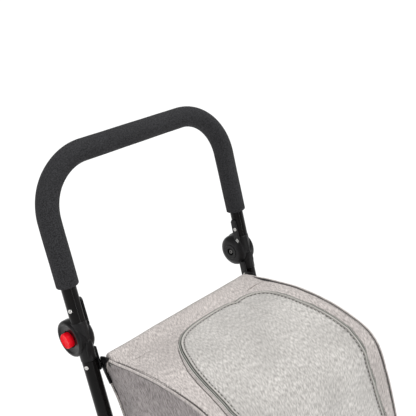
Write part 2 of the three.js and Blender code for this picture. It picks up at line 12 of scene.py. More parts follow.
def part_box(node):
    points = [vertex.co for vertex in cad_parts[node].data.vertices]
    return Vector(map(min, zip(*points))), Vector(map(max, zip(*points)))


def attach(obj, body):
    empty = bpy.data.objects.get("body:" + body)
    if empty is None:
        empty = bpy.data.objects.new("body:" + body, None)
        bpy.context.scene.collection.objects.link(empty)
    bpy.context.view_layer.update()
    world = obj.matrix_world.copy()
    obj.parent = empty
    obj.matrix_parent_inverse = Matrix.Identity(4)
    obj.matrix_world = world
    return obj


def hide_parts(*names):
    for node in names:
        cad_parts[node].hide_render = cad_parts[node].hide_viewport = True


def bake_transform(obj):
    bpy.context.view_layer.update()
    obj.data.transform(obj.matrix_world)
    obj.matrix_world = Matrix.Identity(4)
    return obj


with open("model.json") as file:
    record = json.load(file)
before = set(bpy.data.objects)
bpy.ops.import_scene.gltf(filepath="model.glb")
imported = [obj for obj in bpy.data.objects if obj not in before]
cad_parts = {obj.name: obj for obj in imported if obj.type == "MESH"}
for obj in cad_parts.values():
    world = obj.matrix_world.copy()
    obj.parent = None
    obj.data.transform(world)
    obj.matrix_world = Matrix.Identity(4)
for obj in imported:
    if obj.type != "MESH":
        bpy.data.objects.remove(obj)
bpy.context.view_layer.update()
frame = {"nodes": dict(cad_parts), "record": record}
mm = 0.001
sides = (("left", 1), ("right", -1))


def addObject(name, data):
    obj = bpy.data.objects.new(name, data)
    bpy.context.scene.collection.objects.link(obj)
    return obj


# the leaning tubes: s runs up a tube, off stands behind its axis
leanFrame = {"angle": math.radians(17.3), "y": 0.164, "z": 0.780}
tube = {"x": 0.200, "r": 0.0125}
pivot = {"off": 0.019, "s": -0.038}


def onTube(x, off, s):
    c, n = math.cos(leanFrame["angle"]), math.sin(leanFrame["angle"])
    return Vector((x, leanFrame["y"] + s * n + off * c, leanFrame["z"] + s * c - off * n))


leanMatrix = Matrix.Translation((0, leanFrame["y"], leanFrame["z"])) @ Matrix.Rotation(
    -leanFrame["angle"], 4, "X",
)

# camera, floor and light
stageValues = {
    "lens": 59.55, "eye": (-0.7174, -0.6189, 1.4256), "right": (0.6889, -0.7249, 0.0),
    "up": (0.3211, 0.3051, 0.8965),
    "world": 0.5, "floor": 60, "floorShade": 0.93, "sun": 2.25, "sunAngle": 45,
    "sunFrom": (0.24, -0.12, 0.95),
    # place, aim, size and watts of the area lights
    "lights": {
        "rim": ((-1.9, 0.5, 1.5), (-0.15, 0.1, 0.8), (0.5, 1.6), 5.5),
        "strip": ((-0.1, -2.6, 1.5), (0, 0.1, 0.9), (0.03, 2.2), 8),
    },
}


def makeCamera():
    right, up = Vector(stageValues["right"]), Vector(stageValues["up"])
    back = right.cross(up).normalized()
    camera = addObject("camera", bpy.data.cameras.new("camera"))
    turn = Matrix((right, up, back)).transposed().to_4x4()
    camera.matrix_world = Matrix.Translation(stageValues["eye"]) @ turn
    camera.data.lens = stageValues["lens"]
    camera.data.sensor_width = 36
    bpy.context.scene.camera = camera


def areaLight(name, place, aim, size, watts):
    data = bpy.data.lights.new(name, "AREA")
    data.shape = "RECTANGLE"
    data.size, data.size_y = size
    data.energy = watts
    light = addObject(name, data)
    light.location = place
    light.rotation_euler = (Vector(aim) - Vector(place)).to_track_quat("-Z", "Y").to_euler()


def makeStage():
    bpy.context.scene.view_settings.view_transform = "Standard"
    world = bpy.data.worlds.new("studio")
    bpy.context.scene.world = world
    world.use_nodes = True
    background = world.node_tree.nodes["Background"]
    background.inputs[0].default_value = (1, 1, 1, 1)
    background.inputs[1].default_value = stageValues["world"]
    bpy.ops.mesh.primitive_plane_add(size=stageValues["floor"], location=(0, 0, -0.0005))
    floor = bpy.context.object
    floor.name = "floor"
    paper = bpy.data.materials.new("floorPaper")
    paper.use_nodes = True
    shader = paper.node_tree.nodes["Principled BSDF"]
    shader.inputs["Base Color"].default_value = (*[stageValues["floorShade"]] * 3, 1)
    shader.inputs["Roughness"].default_value = 0.9
    floor.data.materials.append(paper)
    data = bpy.data.lights.new("softbox", "SUN")
    data.angle = math.radians(stageValues["sunAngle"])
    data.energy = stageValues["sun"]
    softbox = addObject("softbox", data)
    softbox.rotation_euler = Vector(stageValues["sunFrom"]).to_track_quat("Z", "Y").to_euler()
    for name, values in stageValues["lights"].items():
        areaLight(name, *values)


makeCamera()
makeStage()
print("stage ready")


# shared effects as node groups
def newGroup(name, inputs, outputs):
    group = bpy.data.node_groups.new(name, "ShaderNodeTree")
    kinds = {"v": "NodeSocketVector", "f": "NodeSocketFloat", "c": "NodeSocketColor"}
    for label, kind, value in inputs:
        socket = group.interface.new_socket(label, in_out="INPUT", socket_type=kinds[kind])
        if value is not None:
            socket.default_value = value
    for label, kind in outputs:
        group.interface.new_socket(label, in_out="OUTPUT", socket_type=kinds[kind])
    return group, group.nodes.new("NodeGroupInput"), group.nodes.new("NodeGroupOutput")


def node(tree, kind, inputs=None, **settings):
    made = tree.nodes.new(kind)
    for key, value in settings.items():
        setattr(made, key, value)
    for key, value in (inputs or {}).items():
        made.inputs[key].default_value = value
    return made


def feed(tree, made, values):
    # fills inputs from (place, value) pairs, where a value is a number or a socket to link from
    for place, value in values:
        if hasattr(value, "links"):
            tree.links.new(value, made.inputs[place])
        else:
            made.inputs[place].default_value = value


def math2(tree, operation, a, b):
    made = node(tree, "ShaderNodeMath", operation=operation)
    feed(tree, made, ((0, a), (1, b)))
    return made.outputs[0]


def mixColour(tree, factor, a, b):
    made = node(tree, "ShaderNodeMix", data_type="RGBA")
    feed(tree, made, ((0, factor), (6, a), (7, b)))
    return made.outputs[2]


def makeWeaveGroup():
    # melange twill: yarns run at an angle across the cloth, and their colour varies in short dashes
    group, given, out = newGroup(
        "meltonTwill",
        [
            ("Vector", "v", None), ("Turn", "f", 0.5), ("Yarns", "f", 900.0), ("Dash", "f", 0.2),
            ("Blotch", "f", 9.0),
        ],
        [("Tone", "f"), ("Blotches", "f"), ("Height", "f")],
    )
    links = group.links
    turned = node(group, "ShaderNodeVectorRotate", rotation_type="Z_AXIS")
    links.new(given.outputs["Vector"], turned.inputs["Vector"])
    links.new(given.outputs["Turn"], turned.inputs["Angle"])
    stretch = node(group, "ShaderNodeCombineXYZ", {2: 1.0})
    links.new(given.outputs["Yarns"], stretch.inputs[0])
    links.new(math2(group, "MULTIPLY", given.outputs["Yarns"], given.outputs["Dash"]), stretch.inputs[1])
    scaled = node(group, "ShaderNodeVectorMath", operation="MULTIPLY")
    links.new(turned.outputs[0], scaled.inputs[0])
    links.new(stretch.outputs[0], scaled.inputs[1])
    dashes = node(
        group, "ShaderNodeTexNoise", {"Scale": 0.42, "Detail": 3.0, "Roughness": 0.65},
        noise_dimensions="3D",
    )
    links.new(scaled.outputs[0], dashes.inputs["Vector"])
    waves = {"Scale": 0.32, "Distortion": 1.2, "Detail": 1.0}
    twill = node(group, "ShaderNodeTexWave", waves, wave_type="BANDS", bands_direction="X")
    links.new(scaled.outputs[0], twill.inputs["Vector"])
    blotch = node(group, "ShaderNodeTexNoise", {"Detail": 3.0}, noise_dimensions="3D")
    links.new(given.outputs["Vector"], blotch.inputs["Vector"])
    links.new(given.outputs["Blotch"], blotch.inputs["Scale"])
    links.new(dashes.outputs["Fac"], out.inputs["Tone"])
    links.new(blotch.outputs["Fac"], out.inputs["Blotches"])
    links.new(math2(group, "ADD", twill.outputs["Fac"], dashes.outputs["Fac"]), out.inputs["Height"])
    return group


def makeGrainGroup():
    # fine grain of a moulding, foam or coat of paint
    group, given, out = newGroup(
        "fineGrain",
        [("Vector", "v", None), ("Scale", "f", 900.0), ("Waves", "f", 25.0)],
        [("Grain", "f"), ("Clouds", "f"), ("Height", "f")],
    )
    links = group.links
    grain = node(group, "ShaderNodeTexNoise", {"Detail": 2.0}, noise_dimensions="3D")
    cell = node(group, "ShaderNodeTexVoronoi", feature="F1")
    cloud = node(group, "ShaderNodeTexNoise", {"Detail": 3.0}, noise_dimensions="3D")
    for made, scale in ((grain, "Scale"), (cell, "Scale"), (cloud, "Waves")):
        links.new(given.outputs["Vector"], made.inputs["Vector"])
        links.new(given.outputs[scale], made.inputs["Scale"])
    links.new(grain.outputs["Fac"], out.inputs["Grain"])
    links.new(cloud.outputs["Fac"], out.inputs["Clouds"])
    links.new(math2(group, "ADD", grain.outputs["Fac"], cell.outputs["Distance"]), out.inputs["Height"])
    return group


weaveGroup = makeWeaveGroup()
grainGroup = makeGrainGroup()


def useGroup(tree, group, **values):
    return node(tree, "ShaderNodeGroup", values, node_tree=group)


def ramp(tree, factor, stops):
    made = tree.nodes.new("ShaderNodeValToRGB")
    elements = made.color_ramp.elements
    while len(elements) < len(stops):
        elements.new(0.5)
    for element, (place, colour) in zip(elements, stops):
        element.position = place
        element.color = (*colour, 1)
    tree.links.new(factor, made.inputs[0])
    return made.outputs[0]


def mapRange(tree, value, low, high, newLow, newHigh):
    made = node(tree, "ShaderNodeMapRange", {1: low, 2: high, 3: newLow, 4: newHigh})
    tree.links.new(value, made.inputs[0])
    return made.outputs[0]


def startMaterial(name):
    mat = bpy.data.materials.new(name)
    mat.use_nodes = True
    tree = mat.node_tree
    return mat, tree, tree.nodes["Principled BSDF"]


def addBump(tree, shader, height, strength, distance):
    bump = node(tree, "ShaderNodeBump", {"Strength": strength, "Distance": distance})
    tree.links.new(height, bump.inputs["Height"])
    tree.links.new(bump.outputs[0], shader.inputs["Normal"])


fabricLooks = {
    "lidCloth": {
        "light": (0.72, 0.695, 0.665), "dark": (0.37, 0.355, 0.335), "turn": -0.36, "yarns": 1500.0,
        "dash": 0.20,
    },
    "bagCloth": {
        "light": (0.74, 0.685, 0.655), "dark": (0.37, 0.335, 0.32), "turn": -0.36, "yarns": 1500.0,
        "dash": 0.20,
    },
    # darker than bagCloth: partly a darker cloth, partly painted shade for the side panels, which face away
    # from the light
    "sideCloth": {
        "light": (0.52, 0.47, 0.465), "dark": (0.20, 0.178, 0.175), "turn": 0.62, "yarns": 1150.0,
        "dash": 0.20,
    },
    "flapCloth": {
        "light": (0.60, 0.55, 0.53), "dark": (0.35, 0.315, 0.30), "turn": 0.5, "yarns": 1500.0, "dash": 0.16,
    },
    "cordCloth": {
        "light": (0.68, 0.66, 0.62), "dark": (0.46, 0.44, 0.41), "turn": 0.8, "yarns": 1800.0, "dash": 0.4,
    },
}


def makeFabric(name):
    look = fabricLooks[name]
    mat, tree, shader = startMaterial(name)
    coords = node(tree, "ShaderNodeUVMap", uv_map="cloth")
    weave = useGroup(tree, weaveGroup, Turn=look["turn"], Yarns=look["yarns"], Dash=look["dash"])
    tree.links.new(coords.outputs[0], weave.inputs["Vector"])
    middle = tuple((a + b) / 2 for a, b in zip(look["dark"], look["light"]))
    yarn = ramp(tree, weave.outputs["Tone"], [(0.40, look["dark"]), (0.50, middle), (0.60, look["light"])])
    patch = mapRange(tree, weave.outputs["Blotches"], 0.38, 0.66, 0.0, 0.34)
    tinted = mixColour(tree, patch, yarn, (*[c * 0.72 for c in look["dark"]], 1))
    # painted shade: the seam attribute darkens the cloth toward near-black along panel edges, piping and
    # stitch grooves, where shade falls
    seam = node(tree, "ShaderNodeAttribute", attribute_name="seam")
    paintedShade = math2(tree, "MULTIPLY", seam.outputs["Fac"], 0.85)
    shade = mixColour(tree, paintedShade, tinted, (0.055, 0.045, 0.042, 1))
    tree.links.new(shade, shader.inputs["Base Color"])
    rough = mapRange(tree, weave.outputs["Tone"], 0.3, 0.7, 0.98, 0.86)
    tree.links.new(rough, shader.inputs["Roughness"])
    shader.inputs["Sheen Weight"].default_value = 0.25
    shader.inputs["Sheen Roughness"].default_value = 0.5
    shader.inputs["Specular IOR Level"].default_value = 0.2
    addBump(tree, shader, weave.outputs["Height"], 0.45, 0.0004)
    return mat


grainLooks = {
    "gripFoam": {
        "speckle": (620.0, (0.010, 0.010, 0.011), (0.046, 0.046, 0.050)),
        "colours": [(0.30, (0.018, 0.018, 0.019)), (0.70, (0.030, 0.030, 0.032))], "scale": 1400.0,
        "rough": (0.82, 0.95), "bump": (0.5, 0.0004), "shine": 0.25,
    },
    "blackPaint": {
        "colours": [(0.30, (0.0022, 0.0019, 0.0019)), (0.75, (0.0042, 0.0034, 0.0033))], "scale": 350.0,
        "rough": (0.15, 0.21), "bump": (0.05, 0.0002), "shine": 0.13,
    },
    "blackPlastic": {
        "colours": [(0.30, (0.0042, 0.0039, 0.0043)), (0.70, (0.0085, 0.0080, 0.0088))], "scale": 1800.0,
        "rough": (0.26, 0.38), "bump": (0.14, 0.0002), "shine": 0.20,
    },
    "redPlastic": {
        "colours": [(0.30, (0.90, 0.002, 0.012)), (0.70, (0.98, 0.003, 0.018))], "scale": 900.0,
        "rough": (0.34, 0.44), "bump": (0.08, 0.0002), "shine": 0.10,
    },
    "greyPlastic": {
        "colours": [(0.30, (0.16, 0.165, 0.17)), (0.70, (0.21, 0.215, 0.22))], "scale": 1500.0,
        "rough": (0.38, 0.52), "bump": (0.15, 0.0002),
    },
    "tyreRubber": {
        "colours": [(0.30, (0.011, 0.011, 0.012)), (0.70, (0.022, 0.022, 0.023))], "scale": 1000.0,
        "rough": (0.66, 0.85), "bump": (0.3, 0.0003),
    },
    "liningCloth": {
        "colours": [(0.30, (0.05, 0.048, 0.047)), (0.70, (0.075, 0.073, 0.071))], "scale": 1600.0,
        "rough": (0.7, 0.85), "bump": (0.35, 0.0003),
    },
    "threadDark": {
        "colours": [(0.30, (0.022, 0.020, 0.018)), (0.70, (0.05, 0.045, 0.042))], "scale": 2500.0,
        "rough": (0.7, 0.85), "bump": (0.3, 0.0002),
    },
    "zipNylon": {
        "colours": [(0.30, (0.055, 0.056, 0.050)), (0.70, (0.09, 0.092, 0.082))], "scale": 2000.0,
        "rough": (0.45, 0.6), "bump": (0.2, 0.0002),
    },
    "zipTeethNylon": {
        "colours": [(0.30, (0.26, 0.265, 0.24)), (0.70, (0.40, 0.405, 0.37))], "scale": 2000.0,
        "rough": (0.4, 0.55), "bump": (0.2, 0.0002),
    },
    "padVinyl": {
        "colours": [(0.30, (0.05, 0.048, 0.045)), (0.70, (0.075, 0.072, 0.068))], "scale": 700.0,
        "rough": (0.5, 0.66), "bump": (0.3, 0.0003),
    },
}


def makeGrained(name):
    look = grainLooks[name]
    mat, tree, shader = startMaterial(name)
    coords = tree.nodes.new("ShaderNodeTexCoord")
    grain = useGroup(tree, grainGroup, Scale=look["scale"])
    tree.links.new(coords.outputs["Object"], grain.inputs["Vector"])
    colour = ramp(tree, grain.outputs["Clouds"], look["colours"])
    if "speckle" in look:
        scale, dark, light = look["speckle"]
        cells = useGroup(tree, grainGroup, Scale=scale)
        tree.links.new(coords.outputs["Object"], cells.inputs["Vector"])
        spots = ramp(tree, cells.outputs["Grain"], [(0.38, dark), (0.62, light)])
        colour = mixColour(tree, 0.75, colour, spots)
    tree.links.new(colour, shader.inputs["Base Color"])
    tree.links.new(
        mapRange(tree, grain.outputs["Grain"], 0.3, 0.7, *look["rough"]), shader.inputs["Roughness"],
    )
    shader.inputs["Specular IOR Level"].default_value = look.get("shine", 0.5)
    addBump(tree, shader, grain.outputs["Height"], *look["bump"])
    return mat


def makeMetal(name, colour, rough):
    mat, tree, shader = startMaterial(name)
    coords = tree.nodes.new("ShaderNodeTexCoord")
    grain = useGroup(tree, grainGroup, Scale=2200.0, Waves=60.0)
    tree.links.new(coords.outputs["Object"], grain.inputs["Vector"])
    dull = tuple(c * 0.7 for c in colour)
    tree.links.new(
        ramp(tree, grain.outputs["Clouds"], [(0.3, dull), (0.6, colour)]), shader.inputs["Base Color"],
    )
    tree.links.new(
        mapRange(tree, grain.outputs["Grain"], 0.3, 0.7, rough, rough + 0.15), shader.inputs["Roughness"],
    )
    shader.inputs["Metallic"].default_value = 1.0
    addBump(tree, shader, grain.outputs["Height"], 0.08, 0.0001)
    return mat


mats = {name: makeFabric(name) for name in fabricLooks}
mats.update({name: makeGrained(name) for name in grainLooks})
mats["zinc"] = makeMetal("zinc", (0.68, 0.67, 0.65), 0.22)
mats["darkZinc"] = makeMetal("darkZinc", (0.20, 0.195, 0.19), 0.3)
print("materials ready")

# every CAD node starts with the finish of its slot; most are replaced below
slotLooks = {
    "paint": "blackPaint", "plastic": "blackPlastic", "foam": "gripFoam", "steel": "zinc",
    "red": "redPlastic",
    "fabric": "bagCloth", "board": "padVinyl", "rubber": "tyreRubber", "grey": "greyPlastic",
}
for part in frame["record"]["subparts"]:
    data = frame["nodes"][part["node"]].data
    data.materials.clear()
    data.materials.append(mats[slotLooks[part["material_slot"]]])


# mesh helpers
def smooth(obj, sharp=None):
    for face in obj.data.polygons:
        face.use_smooth = True
    if sharp:
        obj.data.set_sharp_from_angle(angle=math.radians(sharp))
    return obj


def dress(obj, look, sharp=None):
    obj.data.materials.append(mats[look])
    return smooth(obj, sharp)


def rides(obj, body):
    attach(obj, body)


def meshObject(name, verts, faces):
    data = bpy.data.meshes.new(name)
    data.from_pydata([tuple(v) for v in verts], [], faces)
    data.validate()
    return addObject(name, data)


def bake(obj):
    # turns live modifiers into a plain mesh
    depsgraph = bpy.context.evaluated_depsgraph_get()
    live = obj.evaluated_get(depsgraph)
    data = bpy.data.meshes.new_from_object(live, preserve_all_data_layers=True, depsgraph=depsgraph)
    obj.modifiers.clear()
    obj.data = data
    return obj


def joinMeshes(name, parts):
    meshes = bmesh.new()
    for part in parts:
        meshes.from_mesh(part.data)
        bpy.data.objects.remove(part)
    data = bpy.data.meshes.new(name)
    meshes.to_mesh(data)
    meshes.free()
    return addObject(name, data)


def tubeFaces(rows, count, caps=True):
    # quads between rings of count points, and a face over each end
    faces = []
    for i in range(rows - 1):
        for k in range(count):
            n = (k + 1) % count
            faces.append((i * count + k, i * count + n, (i + 1) * count + n, (i + 1) * count + k))
    if caps:
        faces += [tuple(range(count))[::-1], tuple(range((rows - 1) * count, rows * count))]
    return faces


def runLengths(points):
    # how far along a line each of its points is
    return np.r_[0, np.cumsum(np.linalg.norm(np.diff(np.array(points, float), axis=0), axis=1))]


def sweep(name, points, profile):
    # a closed cross-section carried along a path without twisting; profile holds (across, up) pairs
    points = [Vector(p) for p in points]
    tangents = []
    for i in range(len(points)):
        a, b = points[max(i - 1, 0)], points[min(i + 1, len(points) - 1)]
        tangents.append((b - a).normalized())
    normal = tangents[0].orthogonal().normalized()
    verts = []
    for i, point in enumerate(points):
        if i:
            normal = (normal - tangents[i] * normal.dot(tangents[i])).normalized()
        across = tangents[i].cross(normal)
        ring = profile(i / (len(points) - 1)) if callable(profile) else profile
        verts += [point + across * a + normal * b for a, b in ring]
    return meshObject(name, verts, tubeFaces(len(points), len(ring)))


def circle(radius, count=28):
    angles = (2 * math.pi * i / count for i in range(count))
    return [(radius * math.cos(a), radius * math.sin(a)) for a in angles]


def roundBend(corners, radius, step=0.006):
    # straight runs joined by arcs, as points close enough for a smooth tube
    corners = [Vector(c) for c in corners]
    path = [corners[0]]
    for before, corner, after in zip(corners, corners[1:], corners[2:]):
        into, out = (corner - before).normalized(), (after - corner).normalized()
        turn = into.angle(out)
        start = corner - into * radius * math.tan(turn / 2)
        inward = (out - into * out.dot(into)).normalized()
        count = max(4, int(radius * turn / step))
        for i in range(count + 1):
            a = turn * i / count
            path.append(start + into * radius * math.sin(a) + inward * radius * (1 - math.cos(a)))
    path.append(corners[-1])
    full = [path[0]]
    for a, b in zip(path, path[1:]):
        count = max(1, round((b - a).length / 0.02))
        full += [a.lerp(b, (i + 1) / count) for i in range(count)]
    return full


def turned(name, profile, centre, sign=1, count=56):
    # spun about the X axis; profile holds (radius, along) pairs that end on the axis or where they began
    verts, faces, rings = [], [], []
    ring = profile[:-1] if profile[0] == profile[-1] else profile
    for r, along in ring:
        if r < 1e-9:
            rings.append([len(verts)])
            verts.append(Vector(centre) + Vector((sign * along, 0, 0)))
            continue
        rings.append(list(range(len(verts), len(verts) + count)))
        for i in range(count):
            a = 2 * math.pi * (i + 0.5) / count
            verts.append(Vector(centre) + Vector((sign * along, r * math.cos(a), r * math.sin(a))))
    pairs = list(zip(rings, rings[1:]))
    if profile[0] == profile[-1]:
        pairs.append((rings[-1], rings[0]))
    for a, b in pairs:
        for i in range(count):
            k = (i + 1) % count
            face = [a[i % len(a)], a[k % len(a)], b[k % len(b)], b[i % len(b)]]
            face = list(dict.fromkeys(face))
            if len(face) > 2:
                faces.append(face)
    obj = meshObject(name, verts, faces)
    outward(obj)
    return obj


def outward(obj):
    work = bmesh.new()
    work.from_mesh(obj.data)
    bmesh.ops.remove_doubles(work, verts=work.verts, dist=1e-6)
    bmesh.ops.recalc_face_normals(work, faces=work.faces)
    work.to_mesh(obj.data)
    work.free()
    return obj


def plate(name, outline, x0, x1, bevel=0.0008, segments=3):
    # a (y, z) outline made thick along X, with rounded edges
    low, high = min(x0, x1), max(x0, x1)
    count = len(outline)
    verts = [(x, y, z) for x in (low, high) for y, z in outline]
    faces = [tuple(range(count))[::-1], tuple(range(count, 2 * count))]
    faces += [(i, (i + 1) % count, count + (i + 1) % count, count + i) for i in range(count)]
    obj = meshObject(name, verts, faces)
    outward(obj)
    return rounded(obj, bevel, segments)


def rounded(obj, bevel, segments=3, angle=40):
    modifier = obj.modifiers.new("edges", "BEVEL")
    modifier.width = bevel
    modifier.segments = segments
    modifier.limit_method = "ANGLE"
    modifier.angle_limit = math.radians(angle)
    return bake(obj)


def block(name, low, high, bevel=0.001, segments=3):
    outline = [(low[1], low[2]), (high[1], low[2]), (high[1], high[2]), (low[1], high[2])]
    return plate(name, outline, low[0], high[0], bevel, segments)


def rod(name, start, end, radius, count=28, chamfer=0.0006):
    start, end = Vector(start), Vector(end)
    run = (end - start).normalized()
    points = [start, start + run * chamfer, end - run * chamfer, end]
    radii = (radius - chamfer, radius, radius, radius - chamfer)

    def ring(t):
        return circle(radii[round(t * 3)], count)
    return sweep(name, points, ring)


def boolean(obj, tool, operation):
    modifier = obj.modifiers.new("cut", "BOOLEAN")
    modifier.object = tool
    modifier.operation = operation
    modifier.solver = "EXACT"
    bake(obj)
    bpy.data.objects.remove(tool)
    return obj


def place(obj, body, look, *replaced, slot=None, sharp=35.0):
    dress(obj, look, sharp)
    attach(obj, body)
    if replaced:
        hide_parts(*replaced)
    return obj


# repeated little shapes: one Geometry Nodes tree stamps them along lines of points
def makeStampTree():
    tree = bpy.data.node_groups.new("stampAlong", "GeometryNodeTree")
    tree.interface.new_socket("Geometry", in_out="INPUT", socket_type="NodeSocketGeometry")
    for label, value in (("Length", 0.003), ("Width", 0.0008), ("Height", 0.0006), ("Roundness", 1.0)):
        socket = tree.interface.new_socket(label, in_out="INPUT", socket_type="NodeSocketFloat")
        socket.default_value = value
    tree.interface.new_socket("Material", in_out="INPUT", socket_type="NodeSocketMaterial")
    tree.interface.new_socket("Geometry", in_out="OUTPUT", socket_type="NodeSocketGeometry")
    given, out = tree.nodes.new("NodeGroupInput"), tree.nodes.new("NodeGroupOutput")
    links = tree.links
    ball = node(tree, "GeometryNodeMeshUVSphere", {"Segments": 8, "Rings": 5, "Radius": 0.5})
    brick = node(tree, "GeometryNodeMeshCube", {"Size": (1, 1, 1)})
    pick = node(tree, "GeometryNodeSwitch", input_type="GEOMETRY")
    links.new(given.outputs["Roundness"], pick.inputs[0])
    links.new(brick.outputs["Mesh"], pick.inputs[1])
    links.new(ball.outputs["Mesh"], pick.inputs[2])
    turn = None
    for name, axis in (("along", "X"), ("up", "Z")):
        read = node(tree, "GeometryNodeInputNamedAttribute", {0: name}, data_type="FLOAT_VECTOR")
        align = node(tree, "FunctionNodeAlignRotationToVector", axis=axis)
        if turn:
            align.pivot_axis = "X"
            links.new(turn.outputs[0], align.inputs["Rotation"])
        links.new(read.outputs["Attribute"], align.inputs["Vector"])
        turn = align
    size = tree.nodes.new("ShaderNodeCombineXYZ")
    for place, label in enumerate(("Length", "Width", "Height")):
        links.new(given.outputs[label], size.inputs[place])
    stamp = tree.nodes.new("GeometryNodeInstanceOnPoints")
    links.new(given.outputs["Geometry"], stamp.inputs["Points"])
    links.new(pick.outputs[0], stamp.inputs["Instance"])
    links.new(turn.outputs[0], stamp.inputs["Rotation"])
    links.new(size.outputs[0], stamp.inputs["Scale"])
    real = tree.nodes.new("GeometryNodeRealizeInstances")
    links.new(stamp.outputs[0], real.inputs[0])
    paint = tree.nodes.new("GeometryNodeSetMaterial")
    links.new(real.outputs[0], paint.inputs["Geometry"])
    links.new(given.outputs["Material"], paint.inputs["Material"])
    links.new(paint.outputs[0], out.inputs[0])
    return tree


stampTree = makeStampTree()


def stamp(name, places, look, length, width, height, ball=True):
    # places holds (point, along, up)
    obj = meshObject(name, [item[0] for item in places], [])
    for label, pick in (("along", 1), ("up", 2)):
        layer = obj.data.attributes.new(label, "FLOAT_VECTOR", "POINT")
        layer.data.foreach_set("vector", [c for item in places for c in item[pick]])
    modifier = obj.modifiers.new("stamp", "NODES")
    modifier.node_group = stampTree
    values = {
        "Length": length, "Width": width, "Height": height, "Roundness": float(ball), "Material": mats[look],
    }
    for item in stampTree.interface.items_tree:
        if item.in_out == "INPUT" and item.name in values:
            modifier[item.identifier] = values[item.name]
    bake(obj)
    for face in obj.data.polygons:
        face.use_smooth = ball
    return obj


def walk(line, spacing):
    # points every spacing along a line of (point, normal), with their direction
    points = np.array([tuple(p) for p, n in line])
    normals = np.array([tuple(n) for p, n in line])
    lengths = runLengths(points)
    places = []
    for d in np.arange(spacing / 2, lengths[-1] - spacing / 4, spacing):
        p, ahead, behind = (
            Vector([np.interp(d + step, lengths, points[:, k]) for k in range(3)]) for step in (
                0, 0.0005, -0.0005,
            )
        )
        n = Vector([np.interp(d, lengths, normals[:, k]) for k in range(3)]).normalized()
        places.append((p, (ahead - behind).normalized(), n))
    return places


# handle: steel tube with a foam grip
handleSizes = {
    "top": 0.2515, "corner": 0.0918, "from": -0.0077, "gripFrom": {-1: 0.053, 1: 0.043}, "gripR": 0.0186,
    "ripple": 0.00022, "foamSeed": 4.0, "endRound": 0.0018, "endReach": 0.0026,
}


def handlePath(right, left):
    x, top = tube["x"], handleSizes["top"]
    return roundBend([(-x, 0, right), (-x, 0, top), (x, 0, top), (x, 0, left)], handleSizes["corner"], 0.003)


def makeHandle():
    bar = sweep("handleTube", handlePath(handleSizes["from"], handleSizes["from"]), circle(tube["r"], 40))
    bar.data.transform(leanMatrix)
    place(outward(bar), "handle", "blackPaint", "handle_tube", slot="paint")

    path = handlePath(handleSizes["gripFrom"][-1], handleSizes["gripFrom"][1])
    lengths = [0]
    for a, b in zip(path, path[1:]):
        lengths.append(lengths[-1] + (b - a).length)
    # round the cut ends and lay extra rings there
    ends = [0.0, 0.0006, 0.0014, handleSizes["endReach"]]
    total = lengths[-1]
    marks = sorted(set(ends + [total - e for e in ends] + lengths[2:-2]))
    points, radii = [], []
    for mark in marks:
        points.append(Vector([np.interp(mark, lengths, [p[k] for p in path]) for k in range(3)]))
        edge = min(mark, total - mark)
        rounding = max(0, 1 - edge / handleSizes["endReach"]) ** 2
        radii.append(handleSizes["gripR"] - handleSizes["endRound"] * rounding)
    count = 48

    def ring(t):
        i = round(t * (len(points) - 1))
        mark, wave = marks[i], handleSizes["ripple"]
        swell = math.sin(mark * 47 + handleSizes["foamSeed"]), math.cos(mark * 37)
        places = []
        for a in (2 * math.pi * k / count for k in range(count)):
            across = radii[i] + wave * math.sin(3 * a + mark * 31) * swell[0]
            upward = radii[i] + wave * math.sin(2 * a + mark * 23) * swell[1]
            places.append((across * math.cos(a), upward * math.sin(a)))
        return places
    grip = sweep("foamGrip", points, ring)
    grip.data.transform(leanMatrix)
    place(outward(grip), "handle", "gripFoam", "foam_grip", slot="foam", sharp=60)


makeHandle()

# tilt hinges: two discs on a bolt, with sockets that meet in a V over the tubes
hingeSizes = {
    "innerX": 0.178, "splitX": 0.20075, "innerR": 0.0305, "outerR": 0.032,
    "socketR": 0.0132, "upperEnd": -0.008, "lowerEnd": -0.077, "chevron": 0.004,
    "buttonX": 0.2127, "buttonR": 0.0130, "buttonOut": 0.0102,
    # rivets: height on the tube, by hinge half; turn and distance of the outer and inner heads
    "rivetUpper": {1: 0.0085, -1: 0.0140}, "rivetLower": -0.0865, "rivetOuter": (24, 0.0126),
    "rivetInner": (7, 0.0158),
    "tabX": (0.1842, 0.1880),
}


def socket(name, sign, far, butt):
    # a sleeve over the tube from far to the V-shaped butt face, with eased edges and a raised seam along it
    r, rise = hingeSizes["socketR"], hingeSizes["chevron"]
    toward = 1 if butt > far else -1
    count = 72
    stations = [
        (far, 0.94), (far + toward * 0.0007, 1.0), (far + toward * 0.004, 1.0),
        (butt - toward * 0.0008, 1.0), (butt, 0.95),
    ]
    verts, faces = [], tubeFaces(len(stations), count, caps=False)
    for i, (s, scale) in enumerate(stations):
        for k in range(count):
            a = 2 * math.pi * k / count
            seam = 0.0006 * math.exp(-((a - 1.5 * math.pi) / 0.11) ** 2) if 0 < i < 4 else 0
            radius = r * scale + seam
            x, off = radius * math.cos(a), radius * math.sin(a)
            drop = rise * (1 - abs(x) / r) if i > 2 else 0
            verts.append((sign * tube["x"] + x, off, s - drop))
    last = (len(stations) - 1) * count
    verts.append((sign * tube["x"], 0, far))
    verts.append((sign * tube["x"], 0, butt - rise))
    for k in range(count):
        n = (k + 1) % count
        faces.append((len(verts) - 2, n, k))
        faces.append((len(verts) - 1, last + k, last + n))
    return outward(meshObject(name, verts, faces))


def widened(profile, start, rim, radius):
    # the same profile, stretched outside start so that its rim has the given radius
    return [
        (r if r < start else start + (r - start) * (radius - start) / (rim - start), x)
        for r, x in profile
    ]


def disc(name, sign, profile, count=72):
    return turned(name, profile, (0, pivot["off"], pivot["s"]), sign, count)


